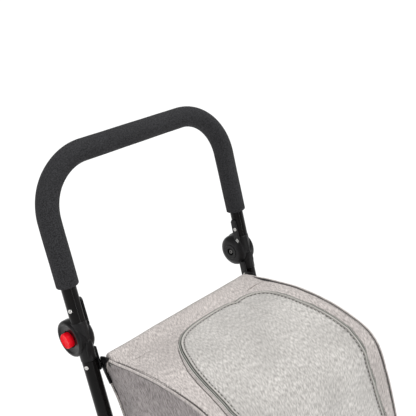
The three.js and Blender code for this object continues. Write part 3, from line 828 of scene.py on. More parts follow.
def makeHinge(word, sign):
    h = hingeSizes
    x0, split = h["innerX"], h["splitX"]
    half = 0.00015
    # upper half: domed inner disc round the screw, and its socket
    upper = socket("hingeUpper_" + word, sign, h["upperEnd"], pivot["s"] + half)
    cutter = disc(
        "cutter", sign,
        [(0, split), (h["outerR"] + 0.0004, split), (h["outerR"] + 0.0004, 0.232), (0, 0.232)],
    )
    boolean(upper, cutter, "DIFFERENCE")
    inner = disc("innerDisc", sign, widened([
        (0, x0 + 0.0052), (0.0066, x0 + 0.0052), (0.0070, x0 + 0.0048), (0.0070, x0 + 0.0006), (0.0076, x0),
        (0.0138, x0), (0.0144, x0 + 0.0004), (0.0150, x0 + 0.0012), (0.0158, x0 + 0.0010),
        (0.0185, x0 + 0.0013),
        (0.0215, x0 + 0.0024), (0.0243, x0 + 0.0043), (0.0264, x0 + 0.0068), (0.0276, x0 + 0.0098),
        (0.028, x0 + 0.013),
        (0.028, split - 0.0009), (0.0275, split - 0.00025), (0, split - 0.00025),
    ], 0.0158, 0.028, h["innerR"]))
    boolean(upper, inner, "UNION")
    tabFrom, tabTo = (sign * x for x in h["tabX"])
    tab = plate("tab", [
        (-0.007, -0.020), (0.007, -0.020), (0.0062, 0.024), (0.003, 0.028), (-0.003, 0.028), (-0.0062, 0.024),
    ], tabFrom, tabTo, 0.0008)
    boolean(upper, tab, "UNION")
    upper.data.transform(leanMatrix)
    place(upper, "handle", "blackPlastic", "hinge_upper_" + word, slot="plastic", sharp=30)

    # lower half: rimmed outer disc with the button's well, and its socket
    lower = socket("hingeLower_" + word, sign, h["lowerEnd"], pivot["s"] - half)
    cutter = disc(
        "cutter", sign,
        [(0, x0 - 0.008), (h["innerR"] + 0.0004, x0 - 0.008), (h["innerR"] + 0.0004, split), (0, split)],
    )
    boolean(lower, cutter, "DIFFERENCE")
    outer = disc("outerDisc", sign, widened([
        (0, 0.2055), (0.0192, 0.2055), (0.0192, 0.2010), (0.0291, 0.2010), (0.0298, 0.2014), (0.030, 0.2021),
        (0.030, 0.2108), (0.0297, 0.2128), (0.0289, 0.2146), (0.0277, 0.2157), (0.0262, 0.2160),
        (0.0248, 0.2157),
        (0.0239, 0.2150), (0.0232, 0.2143), (0.0222, 0.2139), (0.0160, 0.2136), (0.0150, 0.2132),
        (0.0147, 0.2126),
        (0.0147, 0.2084), (0, 0.2084),
    ], 0.0195, 0.030, h["outerR"]))
    boolean(lower, outer, "UNION")
    tab = plate("tab", [
        (-0.007, -0.060), (0.007, -0.060), (0.007, -0.098), (0.004, -0.103), (-0.004, -0.103),
        (-0.007, -0.098),
    ], tabFrom, tabTo, 0.0008)
    boolean(lower, tab, "UNION")
    # the pointed cover of the lower socket, towards the front
    point = plate("point", [
        (-0.0138, -0.0445), (-0.0138, -0.060), (-0.0108, -0.0750), (-0.0060, -0.0560),
    ], sign * 0.1935, sign * 0.2065, 0.0009)
    boolean(lower, point, "UNION")
    lower.data.transform(leanMatrix)
    place(lower, "frame", "blackPlastic", "hinge_lower_" + word, slot="plastic", sharp=30)

    # red button with a raised ring, on three legs
    b, r = h["buttonX"], h["buttonR"]
    top = b + h["buttonOut"]
    cap = disc("releaseButton_" + word, sign, [
        (0, b + 0.0058), (0.0078, b + 0.0058), (0.0081, b + 0.0055), (0.0081, b), (r - 0.0006, b),
        (r, b + 0.0006), (r, top - 0.0016), (r - 0.0004, top - 0.0008), (r - 0.0010, top - 0.0002),
        (r - 0.0018, top), (r - 0.0025, top - 0.0003), (r - 0.0030, top - 0.0009),
        (r - 0.0036, top - 0.0012), (0, top - 0.0010),
    ])
    legs = []
    for turn in (30, 150, 270):
        a = math.radians(turn)
        y, z = pivot["off"] + 0.009 * math.cos(a), pivot["s"] + 0.009 * math.sin(a)
        legs.append(rod("leg", (sign * 0.2048, y, z), (sign * (b + 0.001), y, z), 0.0021, 16))
    cap = joinMeshes("releaseButton_" + word, [cap, *legs])
    cap.data.transform(leanMatrix)
    place(cap, "button_" + word, "redPlastic", "release_button_" + word, slot="red")

    # pivot bolt: a small recessed socket-head screw
    head = disc("pivotBolt_" + word, sign, [
        (0, x0 + 0.0030), (0.0018, x0 + 0.0030), (0.0020, x0 + 0.0018), (0.0024, x0 + 0.0014),
        (0.0036, x0 + 0.0014),
        (0.0042, x0 + 0.0020), (0.0042, x0 + 0.0050), (0.0030, x0 + 0.0052), (0.0030, 0.2128), (0, 0.2128),
    ], 40)
    head.data.transform(leanMatrix)
    place(head, "frame", "darkZinc", "pivot_bolt_" + word, slot="steel")

    # ribs of the spring cover, between the disc and the tube
    along, up = Vector((0, 0.68, 0.73)), Vector((-sign, 0, 0))
    places = []
    for i in range(3):
        places.append((Vector((tabFrom, -0.0035 + i * 0.0028, -0.0135 - i * 0.0026)), along, up))
    ribs = stamp("springRibs_" + word, places, "zinc", 0.0070, 0.0013, 0.0016, ball=False)
    ribs.data.transform(leanMatrix)
    rides(ribs, "handle")

    shape = [
        (0, 0.0002), (0.0009, 0.0004), (0.0013, 0.0010), (0.0022, 0.0014), (0.0031, 0.0011), (0.0036, 0.0004),
        (0.0036, -0.0004), (0, -0.0004),
    ]
    for level, s, body in (("upper", h["rivetUpper"][sign], "handle"), ("lower", h["rivetLower"], "frame")):
        heads = []
        for outer in (1, -1):
            # the inner head sits on the socket's tab
            turn, out = h["rivetOuter"] if outer == sign else h["rivetInner"]
            head = turned("head", shape, (outer * out, 0, 0), outer, 32)
            spot = Matrix.Translation((sign * tube["x"], 0, s))
            head.data.transform(spot @ Matrix.Rotation(math.radians(turn), 4, "Z"))
            heads.append(head)
        rivet = joinMeshes("rivet_%s_%s_pair" % (level, word), heads)
        rivet.data.transform(leanMatrix)
        place(rivet, body, "zinc", "rivet_%s_%s" % (level, word), slot="steel")


for word, sign in sides:
    makeHinge(word, sign)
print("handle and hinges ready")


# frame tubes, legs and their plastic fittings
chassis = {
    "railZ": 0.135, "bend": 0.080, "railEnd": -0.178, "crossR": 0.009,
    "legTop": (0.075, 0.388), "axle": (0.144, 0.090), "legR": 0.011, "legCut": 0.019, "axleR": 0.006,
}
legTop, axleAt = Vector((0, *chassis["legTop"])), Vector((0, *chassis["axle"]))
legRun = (axleAt - legTop).normalized()
legLength = (axleAt - legTop).length - chassis["legCut"]


def onLeg(x, d):
    return legTop + legRun * d + Vector((x, 0, 0))


def makeFrame(word, sign):
    x = sign * tube["x"]
    foot = onTube(x, 0, (chassis["railZ"] - leanFrame["z"]) / math.cos(leanFrame["angle"]))
    foot.z = chassis["railZ"]
    path = roundBend(
        [onTube(x, 0, -0.0773), foot, (x, chassis["railEnd"], chassis["railZ"])], chassis["bend"],
    )
    side = sweep("frameTube_" + word, path, circle(tube["r"], 40))
    place(outward(side), "frame", "blackPaint", "frame_tube_" + word, slot="paint")

    leg = rod("rearLeg_" + word, onLeg(x, 0), onLeg(x, legLength), chassis["legR"], 36)
    place(outward(leg), "frame", "blackPaint", "rear_leg_" + word, slot="paint")

    collar = rod("legBracket_" + word, onTube(x, 0, -0.422), onTube(x, 0, -0.378), 0.017, 44, 0.0018)
    outward(collar)
    ear = plate(
        "ear", [(0.010, -0.400), (0.036, -0.400), (0.036, -0.380), (0.010, -0.380)], x - 0.008, x + 0.008,
        0.0016,
    )
    ear.data.transform(leanMatrix)
    socketEnd = outward(rod("cap", onLeg(x, -0.016), onLeg(x, -0.0003), 0.0135, 40, 0.0012))
    bracket = joinMeshes("legBracket_" + word, [collar, ear, socketEnd])
    place(bracket, "frame", "blackPlastic", "leg_bracket_" + word, slot="plastic")

    y, z = chassis["axle"]
    box = block(
        "axleBlock_" + word, (x - 0.012, y - 0.015, z - 0.014), (x + 0.012, y + 0.015, z + 0.014), 0.003, 4,
    )
    neck = outward(rod("neck", onLeg(x, legLength + 0.0003), onLeg(x, legLength + 0.010), 0.0125, 36, 0.001))
    place(
        joinMeshes("axleBlock_" + word, [box, neck]), "frame", "blackPlastic", "axle_block_" + word,
        slot="plastic",
    )


for word, sign in sides:
    makeFrame(word, sign)
crossTubes = {
    "Middle": "cross_tube_middle", "Low": "cross_tube_low", "BaseRear": "cross_tube_base_rear",
    "BaseFront": "cross_tube_base_front",
}
for label, name in crossTubes.items():
    low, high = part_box(name)
    centre = (low + high) / 2
    bar = rod("crossTube" + label, (low.x, *centre.yz), (high.x, *centre.yz), chassis["crossR"], 36)
    place(outward(bar), "frame", "blackPaint", name, slot="paint")
axle = rod("rearAxle", (-0.262, *chassis["axle"]), (0.262, *chassis["axle"]), chassis["axleR"], 32)
place(outward(axle), "frame", "zinc", "rear_axle", slot="steel")


# wheels
wheelSizes = {
    "rear": {
        "r": 0.090, "half": 0.018, "rimR": 0.076, "hubR": 0.017, "hubHalf": 0.020, "windows": 6,
        "windowR": 0.014, "windowAt": 0.043, "bore": 0.0064, "rimHalf": 0.013,
    },
    "caster": {
        "r": 0.050, "half": 0.012, "rimR": 0.036, "hubR": 0.009, "hubHalf": 0.0138, "windows": 5,
        "windowR": 0.0055, "windowAt": 0.0195, "bore": 0.0044, "rimHalf": 0.008,
    },
}


def makeWheel(kind, word, centre, body, nodes):
    w = wheelSizes[kind]
    r, half, rimR = w["r"], w["half"], w["rimR"]
    tread = [
        (rimR + 0.0003, -half + 0.003), (rimR + 0.003, -half + 0.0008), (r - 0.0085, -half),
        (r - 0.0078, -half),
    ]
    tread += [
        (r - 0.0075, -half + 0.0006), (r - 0.0066, -half + 0.0006), (r - 0.0063, -half),
        (r - 0.0045, -half + 0.0010),
    ]
    tread += [(r - 0.0022, -half + 0.0034), (r - 0.0008, -half + 0.0066), (r - 0.0002, -half + 0.0090)]
    grooves = [-0.28, 0.0, 0.28]
    crown = []
    for g in grooves:
        at = g * half * 2 * 0.62
        crown += [(r, at - 0.0011), (r - 0.0014, at - 0.0007), (r - 0.0014, at + 0.0007), (r, at + 0.0011)]
    profile = tread + crown + [(a, -b) for a, b in reversed(tread)] + [tread[0]]
    tyre = turned(nodes[0].replace("_", ""), profile, centre, 1, 96)
    count = 64 if kind == "rear" else 44
    places = []
    for i in range(count):
        a = 2 * math.pi * i / count
        out = Vector((0, math.cos(a), math.sin(a)))
        for side in (-1, 1):
            spot = Vector(centre) + out * (r - 0.0013) + Vector((side * (half - 0.0062), 0, 0))
            places.append((spot, Vector((side, 0, 0)).cross(out) * side * 0.35 + Vector((side, 0, 0)), out))
    lugs = stamp("lugs", places, "tyreRubber", 0.0056, 0.0022, 0.0016, ball=False)
    tyre = joinMeshes(("rearTyre_" if kind == "rear" else "casterTyre_") + word, [tyre, lugs])
    place(tyre, body, "tyreRubber", nodes[0], slot="rubber")

    hub, hubHalf, rimHalf, bore = w["hubR"], w["hubHalf"], w["rimHalf"], w["bore"]
    lip = 0.008
    sideShape = [
        (bore, hubHalf), (hub - 0.001, hubHalf), (hub, hubHalf - 0.001), (hub + 0.0006, 0.0042),
        (hub + 0.0022, 0.003),
        (rimR - lip - 0.003, 0.003), (rimR - lip - 0.0008, 0.0044), (rimR - lip, rimHalf - 0.001),
        (rimR - lip + 0.001, rimHalf),
        (rimR - 0.0008, rimHalf), (rimR, rimHalf - 0.0008),
    ]
    profile = [(a, -b) for a, b in sideShape] + list(reversed(sideShape)) + [(
        sideShape[0][0], -sideShape[0][1],
    )]
    rim = turned("rim", profile, centre, 1, 96)
    cuts = []
    for i in range(w["windows"]):
        a = (i + 0.5) * 2 * math.pi / w["windows"]
        y, z = centre[1] + w["windowAt"] * math.cos(a), centre[2] + w["windowAt"] * math.sin(a)
        cuts.append(rod("window", (centre[0] - 0.02, y, z), (centre[0] + 0.02, y, z), w["windowR"], 32))
    boolean(rim, outward(joinMeshes("windows", cuts)), "DIFFERENCE")
    rim.name = ("rearRim_" if kind == "rear" else "casterRim_") + word
    place(rim, body, "greyPlastic", nodes[1], slot="grey", sharp=30)


def makeWheels(word, sign):
    body = "rear_wheel_" + word
    makeWheel("rear", word, (sign * 0.245, *chassis["axle"]), body, ("rear_tyre_" + word, "rear_rim_" + word))
    cap = turned("wheelCap_" + word, [
        (0, 0.2653), (0.0144, 0.2653), (0.015, 0.2659), (0.0148, 0.2675), (0.0140, 0.2690),
        (0.0118, 0.2702), (0.0105, 0.2703),
        (0.0098, 0.2697), (0.0090, 0.2698), (0.0070, 0.2713), (0.0040, 0.2721), (0, 0.2723),
    ], (0, *chassis["axle"]), sign, 48)
    place(cap, body, "blackPlastic", "wheel_cap_" + word, slot="plastic")

    x = sign * 0.200
    centre = (x, -0.176, 0.050)
    makeWheel("caster", word, centre, "caster_wheel_" + word, ("caster_tyre_" + word, "caster_rim_" + word))

    front, back = -0.226, -0.1783
    shell = plate("casterHousing_" + word, [
        (front + 0.006, 0.1125), (back, 0.1125), (back, 0.153), (front + 0.014, 0.153),
        (front + 0.007, 0.151), (front + 0.002, 0.146),
        (front, 0.139), (front, 0.118), (front + 0.002, 0.114),
    ], x - 0.0155, x + 0.0155, 0.0028, 4)
    race = turned(
        "race", [(0, -0.0005), (0.0142, -0.0005), (0.0150, 0.0005), (0.0150, 0.0013), (0, 0.0013)],
        (0, 0, 0), 1, 48,
    )
    race.data.transform(Matrix.Translation((x, -0.204, 0.1120)) @ Matrix.Rotation(math.radians(90), 4, "Y"))
    place(
        joinMeshes("casterHousing_" + word, [shell, race]), "frame", "blackPlastic",
        "caster_housing_" + word, slot="plastic",
    )

    inner, outer = 0.0145, 0.0185
    arc = [
        (centre[1] + 0.010 * math.cos(a), centre[2] + 0.010 * math.sin(a))
        for a in np.linspace(math.pi * 1.15, math.pi * 2.1, 18)
    ]
    leg = [(-0.222, 0.1095), (-0.2215, 0.098)] + arc + [(-0.184, 0.100), (-0.184, 0.1095)]
    fork = []
    for a, b in ((-outer, -inner), (inner, outer)):
        fork.append(plate("leg", leg, x + a, x + b, 0.0009, 3))
    fork.append(block("crown", (x - outer, -0.222, 0.1045), (x + outer, -0.184, 0.1112), 0.0018, 3))
    fork.append(outward(rod("stem", (x, -0.204, 0.108), (x, -0.204, 0.144), 0.005, 28)))
    place(
        joinMeshes("casterFork_" + word, fork), "caster_" + word, "blackPlastic", "caster_fork_" + word,
        slot="plastic",
    )
    pin = turned(
        "casterAxle_" + word,
        [
            (0, -0.0218), (0.0048, -0.0218), (0.0062, -0.0208), (0.0065, -0.0190), (0.0040, -0.0188),
            (0.0040, 0.0188), (0.0065, 0.0190), (0.0062, 0.0208), (0.0048, 0.0218), (0, 0.0218),
        ],
        centre, 1, 36,
    )
    place(pin, "caster_" + word, "zinc", "caster_axle_" + word, slot="steel")


for word, sign in sides:
    makeWheels(word, sign)
print("frame and wheels ready")


# bag: cloth panels cut to the side outline, in (y, z)
bagSizes = {
    "halfWidth": 0.179, "floor": 0.1496, "cloth": 0.0024, "grid": 0.0062, "edgeStep": 0.0042,
    "crown": [
        (120, 706), (84, 717), (47, 725), (8, 732), (-26, 734), (-65, 731.5), (-99, 726.5), (-126, 720),
        (-149, 711.5), (-168, 696), (-181, 676), (-191, 653), (-210, 605), (-238, 515), (-253, 420),
        (-256, 330), (-251, 225),
    ],
    "back": [(-50, 205), (16, 375), (66, 548), (87, 608), (103, 641), (117, 661), (125, 682)],
    "edgeDrop": (0.0045, 0.0025),
    "inset": 0.0012, "rodAt": (0.112, 0.698),
    # rows of points laid beside every edge, and where the even grid takes over
    "rings": (0.0016, 0.0056, 0.0074), "gridFrom": 0.0090,
}
clothSim = {
    "voxel": 0.0095, "pressure": 1.1, "slack": -0.012, "frames": 20, "cap": 0.0052, "pinWidth": 0.009,
    "quality": 6,
}
lidSizes = {
    "hemZ": 0.450, "hingeGap": 0.0038, "pipingR": 0.0015, "stitchIn": 0.0052, "coilFrom": 0.0002,
    "coilWidth": 0.0040,
    "flapFrom": 0.0050, "flapTo": 0.0102,
    # the zip's line over the crown: across from the middle, and down from the rear edge
    "zip": [
        (-152, 500), (-148, 440), (-145, 370), (-142, 310), (-139.5, 252), (-135.5, 228), (-131.5, 200),
        (-124, 164), (-114, 134),
        (-100, 104), (-84, 79), (-69, 64), (-50, 53.5), (-24, 47), (0, 44.8), (25, 44.0), (52, 45),
        (71, 49), (85, 54), (100, 53.5),
        (118, 58.5), (131, 68), (139, 80), (143, 98), (144.5, 124), (146, 151), (148.5, 173), (150.5, 199),
        (151.5, 224), (150.5, 244),
        (148.5, 263), (145.5, 282), (142.5, 300), (140.5, 322), (141, 347), (143, 378), (146.5, 407),
        (149, 430), (151.5, 500),
    ],
}


def splinePoints(points, per=14):
    # a smooth curve through the points
    pts = [np.array(p, float) for p in points]
    pts = [2 * pts[0] - pts[1]] + pts + [2 * pts[-1] - pts[-2]]
    line = []
    for a, b, c, d in zip(pts, pts[1:], pts[2:], pts[3:]):
        for t in np.arange(per) / per:
            square, cube = 2 * a - 5 * b + 4 * c - d, 3 * b - a - 3 * c + d
            line.append(0.5 * (2 * b + (c - a) * t + square * t * t + cube * t ** 3))
    line.append(pts[-2])
    return np.array(line)


def bezier(points, count):
    t = np.linspace(0, 1, count)[:, None]
    work = [np.array(p, float) * np.ones((count, 1)) for p in points]
    while len(work) > 1:
        work = [a * (1 - t) + b * t for a, b in zip(work, work[1:])]
    return work[0]


def evenly(line, step):
    line = np.array(line, float)
    length = runLengths(line)
    count = max(1, round(length[-1] / step))
    marks = np.linspace(0, length[-1], count + 1)
    return np.stack([np.interp(marks, length, line[:, k]) for k in range(line.shape[1])], 1)


floorMm = bagSizes["floor"] * 1000
crownCurve = np.vstack([
    splinePoints(bagSizes["crown"]),
    bezier([(-251, 225), (-244, floorMm), (-205, floorMm)], 24)[1:],
]) * mm
backCurve = np.vstack([
    [(-205, floorMm), (-86, floorMm)],
    bezier([(-86, floorMm), (-66, floorMm + 4), (-50, 205)], 16)[1:],
    splinePoints(bagSizes["back"])[1:],
    [(120, 706)],
]) * mm
crownCurve, backCurve = evenly(crownCurve, 0.002), evenly(backCurve, 0.002)


class Profile:
    # a panel's curve in (y, z), read by the distance v along it
    def __init__(self, line):
        self.line = line
        self.v = runLengths(line)
        slope = np.gradient(line, self.v, axis=0)
        kernel = np.ones(9) / 9
        slope = np.stack([np.convolve(np.pad(slope[:, k], 4, "edge"), kernel, "valid") for k in range(2)], 1)
        self.slope = slope / np.linalg.norm(slope, axis=1)[:, None]
        self.length = self.v[-1]

    def at(self, x, v, lift=0.0):
        y, z = (np.interp(v, self.v, self.line[:, k]) for k in range(2))
        ty, tz = (np.interp(v, self.v, self.slope[:, k]) for k in range(2))
        normal = Vector((0, tz, -ty)).normalized()
        return Vector((x, y, z)) + normal * lift, normal

    def vAtZ(self, z, start):
        # start leaves out the part of the curve before the height only falls
        low = int(len(self.line) * start)
        return float(np.interp(-z, -self.line[low:, 1], self.v[low:]))


crownProfile, backProfile = Profile(crownCurve), Profile(backCurve)
hemV = crownProfile.vAtZ(lidSizes["hemZ"], 0.3)
outlineYz = evenly(np.vstack([crownCurve, backCurve[1:]]), bagSizes["edgeStep"])[:-1]


def zipLine():
    # on the crown, as (x, v) from the near lower end round the rear to the far one
    marks = lidSizes["zip"]
    ends = [(marks[0][0], hemV * 1000)], [(marks[-1][0] + 0.5, hemV * 1000)]
    return evenly(splinePoints(ends[0] + marks + ends[1]) * mm, 0.003)


zipXv = zipLine()


def besides(line, distance):
    # the open line moved sideways, positive outwards from the lid
    run = np.gradient(line, axis=0)
    run /= np.linalg.norm(run, axis=1)[:, None]
    return line + np.stack([-run[:, 1], run[:, 0]], 1) * distance * zipOut


zipOut = 1
if abs(besides(zipXv, 0.01)[10, 0]) < abs(zipXv[10, 0]):
    zipOut = -1


def softNoise(p, seed, scale):
    total = 0.0
    for k, (a, b, c) in enumerate(((1.0, 0.3, 0.7), (-0.4, 1.1, 0.5), (0.6, -0.8, 1.2))):
        total += math.sin(scale * (a * p[0] + b * p[1] + c * p[2]) + seed * (k + 1) * 1.7)
    return total / 3


def measureCloud(cloud, starts, ends):
    # distance of flat points from the nearest edge, and whether the edges go round them
    near, inside = np.empty(len(cloud)), np.empty(len(cloud), bool)
    run = ends - starts
    for first in range(0, len(cloud), 3000):
        part = cloud[first:first + 3000]
        offset = part[:, None] - starts[None]
        t = np.clip((offset * run).sum(2) / np.maximum((run * run).sum(1), 1e-12), 0, 1)
        near[first:first + 3000] = np.linalg.norm(offset - run * t[..., None], axis=2).min(1)
        level = part[:, None, 1]
        crosses = (starts[:, 1] > level) != (ends[:, 1] > level)
        with np.errstate(divide="ignore", invalid="ignore"):
            at = starts[:, 0] + (level - starts[:, 1]) / run[:, 1] * run[:, 0]
        inside[first:first + 3000] = (crosses & (part[:, None, 0] < at)).sum(1) % 2 == 1
    return near, inside


def simulateBag():
    # how the stuffed cloth moves off its flat cut, read back later for every piece of the bag
    half = bagSizes["halfWidth"]
    columns = np.linspace(-half, half, 31)
    loop = evenly(np.vstack([outlineYz, outlineYz[:1]]), 0.010)[:-1]
    verts = [(x, y, z) for x in columns for y, z in loop]
    form = outward(meshObject("bagForm", verts, tubeFaces(len(columns), len(loop))))
    remesh = form.modifiers.new("remesh", "REMESH")
    remesh.mode = "VOXEL"
    remesh.voxel_size = clothSim["voxel"]
    bake(form)
    rest = np.array([v.co[:] for v in form.data.vertices])
    gap, _ = measureCloud(rest[:, 1:], outlineYz, np.roll(outlineYz, -1, 0))
    seam = (np.abs(rest[:, 0]) > half - clothSim["pinWidth"]) & (gap < clothSim["pinWidth"])
    low = rest[:, 2] < bagSizes["floor"] + 0.008
    rodY, rodZ = bagSizes["rodAt"]
    rod = np.hypot(rest[:, 1] - rodY, rest[:, 2] - rodZ) < 0.018
    group = form.vertex_groups.new(name="pin")
    group.add([int(i) for i in np.nonzero(seam | low | rod)[0]], 1.0, "REPLACE")
    cloth = form.modifiers.new("cloth", "CLOTH")
    settings = cloth.settings
    settings.quality = clothSim["quality"]
    settings.mass = 0.25
    settings.tension_stiffness = settings.compression_stiffness = 14
    settings.shear_stiffness = 6
    settings.bending_stiffness = 0.6
    settings.use_pressure = True
    settings.uniform_pressure_force = clothSim["pressure"]
    settings.shrink_min = clothSim["slack"]
    settings.vertex_group_mass = "pin"
    settings.effector_weights.gravity = 0.15
    scene = bpy.context.scene
    cloth.point_cache.frame_start, cloth.point_cache.frame_end = 1, clothSim["frames"]
    for step in range(1, clothSim["frames"] + 1):
        scene.frame_set(step)
    bake(form)
    moved = np.array([v.co[:] for v in form.data.vertices]) - rest
    scene.frame_set(1)
    bpy.data.objects.remove(form)
    size = np.linalg.norm(moved, axis=1)
    moved *= np.minimum(1, clothSim["cap"] / np.maximum(size, 1e-9))[:, None]
    tree = KDTree(len(rest))
    for i, p in enumerate(rest):
        tree.insert(p, i)
    tree.balance()
    print("cloth simulated: %d points, moved up to %.1f mm" % (len(rest), size.max() * 1000))
    return tree, moved


clothTree, clothMoved = simulateBag()


def ease(value, width):
    # 0 to 1 as the value passes through the width
    return min(1, max(0, value / width))


def clothShift(p, normal):
    x = abs(p[0]) / bagSizes["halfWidth"]
    if clothTree is None:
        if abs(normal[0]) > 0.7:
            return Vector(normal) * 0.003
        return Vector(normal) * 0.0035 * max(0, 1 - x * x)
    total, weight = np.zeros(3), 0.0
    for _, index, distance in clothTree.find_n(p, 7):
        w = 1 / (distance * distance + 2e-5)
        total += clothMoved[index] * w
        weight += w
    return Vector(total / weight)


def edgeDrop(p):
    # the top edges hang a little lower than the middle, more on the near side
    near, far = bagSizes["edgeDrop"]
    reach = (abs(p[0]) / bagSizes["halfWidth"]) ** 4
    top = ease(p[2] - 0.60, 0.09) * ease(p[1] + 0.08, 0.06) * ease(0.124 - p[1], 0.03)
    return (near if p[0] < 0 else far) * reach * top


def hingePinch(p):
    # the sewn hinge line holds the cloth flat, so that the lid can fold over it
    if p[1] > -0.2:
        return 0.0
    level = ease(0.040 - abs(p[2] - lidSizes["hemZ"]), 0.025)
    return level * level * (3 - 2 * level) * ease(0.165 - abs(p[0]), 0.012)


def settle(p, normal, lift=0.0):
    p, normal = Vector(p), Vector(normal)
    free = 1 - hingePinch(p)
    shift = clothShift(p, normal) * free
    shift.z -= edgeDrop(p)
    return p + shift - normal * bagSizes["inset"] + normal * (creases(p, normal) * free + lift)


# soft folds: (x, y, z, reach along, reach across, depth, turn)
foldList = [
    (0.150, 0.100, 0.714, 0.030, 0.009, 0.0030, 0.5), (0.118, 0.104, 0.713, 0.022, 0.008, -0.0022, -0.3),
    (0.168, 0.076, 0.719, 0.020, 0.010, -0.0028, 0.9), (0.020, 0.030, 0.728, 0.050, 0.010, -0.0012, 0.25),
    (-0.060, -0.020, 0.734, 0.060, 0.016, 0.0012, -0.5), (0.060, -0.110, 0.724, 0.055, 0.015, -0.0014, 0.7),
    (0.0765, 0.030, 0.727, 0.046, 0.0060, -0.0034, 1.53), (0.0860, 0.026, 0.727, 0.046, 0.0070, 0.0018, 1.53),
    (-0.150, 0.060, 0.722, 0.028, 0.009, 0.0014, 0.8), (-0.030, -0.185, 0.665, 0.060, 0.018, 0.0012, 0.2),
]


def creases(p, normal):
    if abs(normal[0]) > 0.7:
        return 0.0009 * softNoise(p, 2.0, 46.0) + 0.0005 * softNoise(p, 5.0, 110.0)
    total = 0.0006 * softNoise(p, 1.0, 38.0)
    for x, y, z, along, across, depth, turn in foldList:
        dx, dy, dz = p[0] - x, p[1] - y, p[2] - z
        if abs(dz) > 0.06:
            continue
        a = dx * math.cos(turn) + dy * math.sin(turn)
        b = -dx * math.sin(turn) + dy * math.cos(turn)
        total += depth * math.exp(-(a / along) ** 2 - (b / across) ** 2)
    return total


def clothPanel(name, outer, holes, place3d, seamShadeAt, grid=bagSizes["grid"]):
    # a panel is cut in flat coordinates, filled with triangles and laid on the bag
    loops = [np.array(outer)] + [np.array(h) for h in holes]
    points, edges = [], []
    for loop in loops:
        first = len(points)
        points += [tuple(p) for p in loop]
        edges += [(first + i, first + (i + 1) % len(loop)) for i in range(len(loop))]
    low, high = loops[0].min(0), loops[0].max(0)
    starts, ends = np.vstack(loops), np.vstack([np.roll(loop, -1, 0) for loop in loops])
    cloud = [Vector(p) for p in points]
    for loop in loops:
        ahead = np.roll(loop, -1, 0)
        area = 0.5 * np.sum(loop[:, 0] * ahead[:, 1] - loop[:, 1] * ahead[:, 0])
        run = ahead - np.roll(loop, 1, 0)
        run /= np.maximum(np.linalg.norm(run, axis=1)[:, None], 1e-9)
        side = (1 if area > 0 else -1) * (1 if loop is loops[0] else -1)
        for depth in bagSizes["rings"]:
            ring = loop + np.stack([-run[:, 1], run[:, 0]], 1) * side * depth
            near, inside = measureCloud(ring, starts, ends)
            cloud += [Vector(p) for p in ring[inside & (near > depth * 0.8)]]
    xs = np.arange(low[0], high[0], grid)
    ys = np.arange(low[1], high[1], grid * 0.866)
    mesh = np.array([(x + (grid / 2 if j % 2 else 0), y) for j, y in enumerate(ys) for x in xs])
    near, inside = measureCloud(mesh, starts, ends)
    cloud += [Vector(p) for p in mesh[inside & (near > bagSizes["gridFrom"])]]
    flat, _, triangles, *_ = delaunay_2d_cdt(cloud, edges, [], 0, 1e-7)
    flat = np.array([p[:] for p in flat])
    middles = np.array([flat[list(t)].mean(0) for t in triangles])
    _, inside = measureCloud(middles, starts, ends)
    triangles = [t for t, keep in zip(triangles, inside) if keep]
    verts = [place3d(*p) for p in flat]
    obj = meshObject(name, verts, triangles)
    used = bmesh.new()
    used.from_mesh(obj.data)
    uvLayer = used.loops.layers.uv.new("cloth")
    # the seam attribute holds painted shade along the panel's edges and grooves, which the cloth material
    # darkens with
    seamShadeLayer = used.verts.layers.float.new("seam")
    near, _ = measureCloud(flat, starts, ends)
    used.verts.ensure_lookup_table()
    for v in used.verts:
        v[seamShadeLayer] = seamShadeAt(flat[v.index], near[v.index])
    for face in used.faces:
        for loop in face.loops:
            loop[uvLayer].uv = flat[loop.vert.index]
    bmesh.ops.delete(used, geom=[v for v in used.verts if not v.link_faces], context="VERTS")
    used.to_mesh(obj.data)
    used.free()
    return obj


def faceOut(obj, hint):
    # turns an open sheet the right way out
    work = bmesh.new()
    work.from_mesh(obj.data)
    if sum(f.normal.dot(hint(f.calc_center_median())) * f.calc_area() for f in work.faces) < 0:
        bmesh.ops.reverse_faces(work, faces=work.faces)
    work.to_mesh(obj.data)
    work.free()


def addWall(obj, thickness, lining=0):
    wall = obj.modifiers.new("wall", "SOLIDIFY")
    wall.thickness = thickness
    wall.offset = -1
    wall.material_offset = lining
    wall.material_offset_rim = 0
    bake(obj)


def finishPanel(obj, look, hint):
    # gives the sheet a lined wall on the inside
    faceOut(obj, hint)
    for name in (look, "liningCloth"):
        obj.data.materials.append(mats[name])
    addWall(obj, bagSizes["cloth"], 1)
    smooth(obj, 50)


def layOn(profile, lift=0.0):
    # gives the place on the stuffed bag of a flat (x, v)
    def at(x, v):
        p, n = profile.at(x, v)
        return settle(p, n, lift)
    return at


onCrown = layOn(crownProfile)


def rampDown(distance, width, strength=1.0):
    return strength * max(0.0, 1 - distance / width)


def rectangle(x, v0, v1, step):
    corners = [(-x, v0), (x, v0), (x, v1), (-x, v1), (-x, v0)]
    return np.vstack([evenly([a, b], step)[:-1] for a, b in zip(corners, corners[1:])])


def away(p):
    return Vector((0, p.y + 0.08, p.z - 0.42))


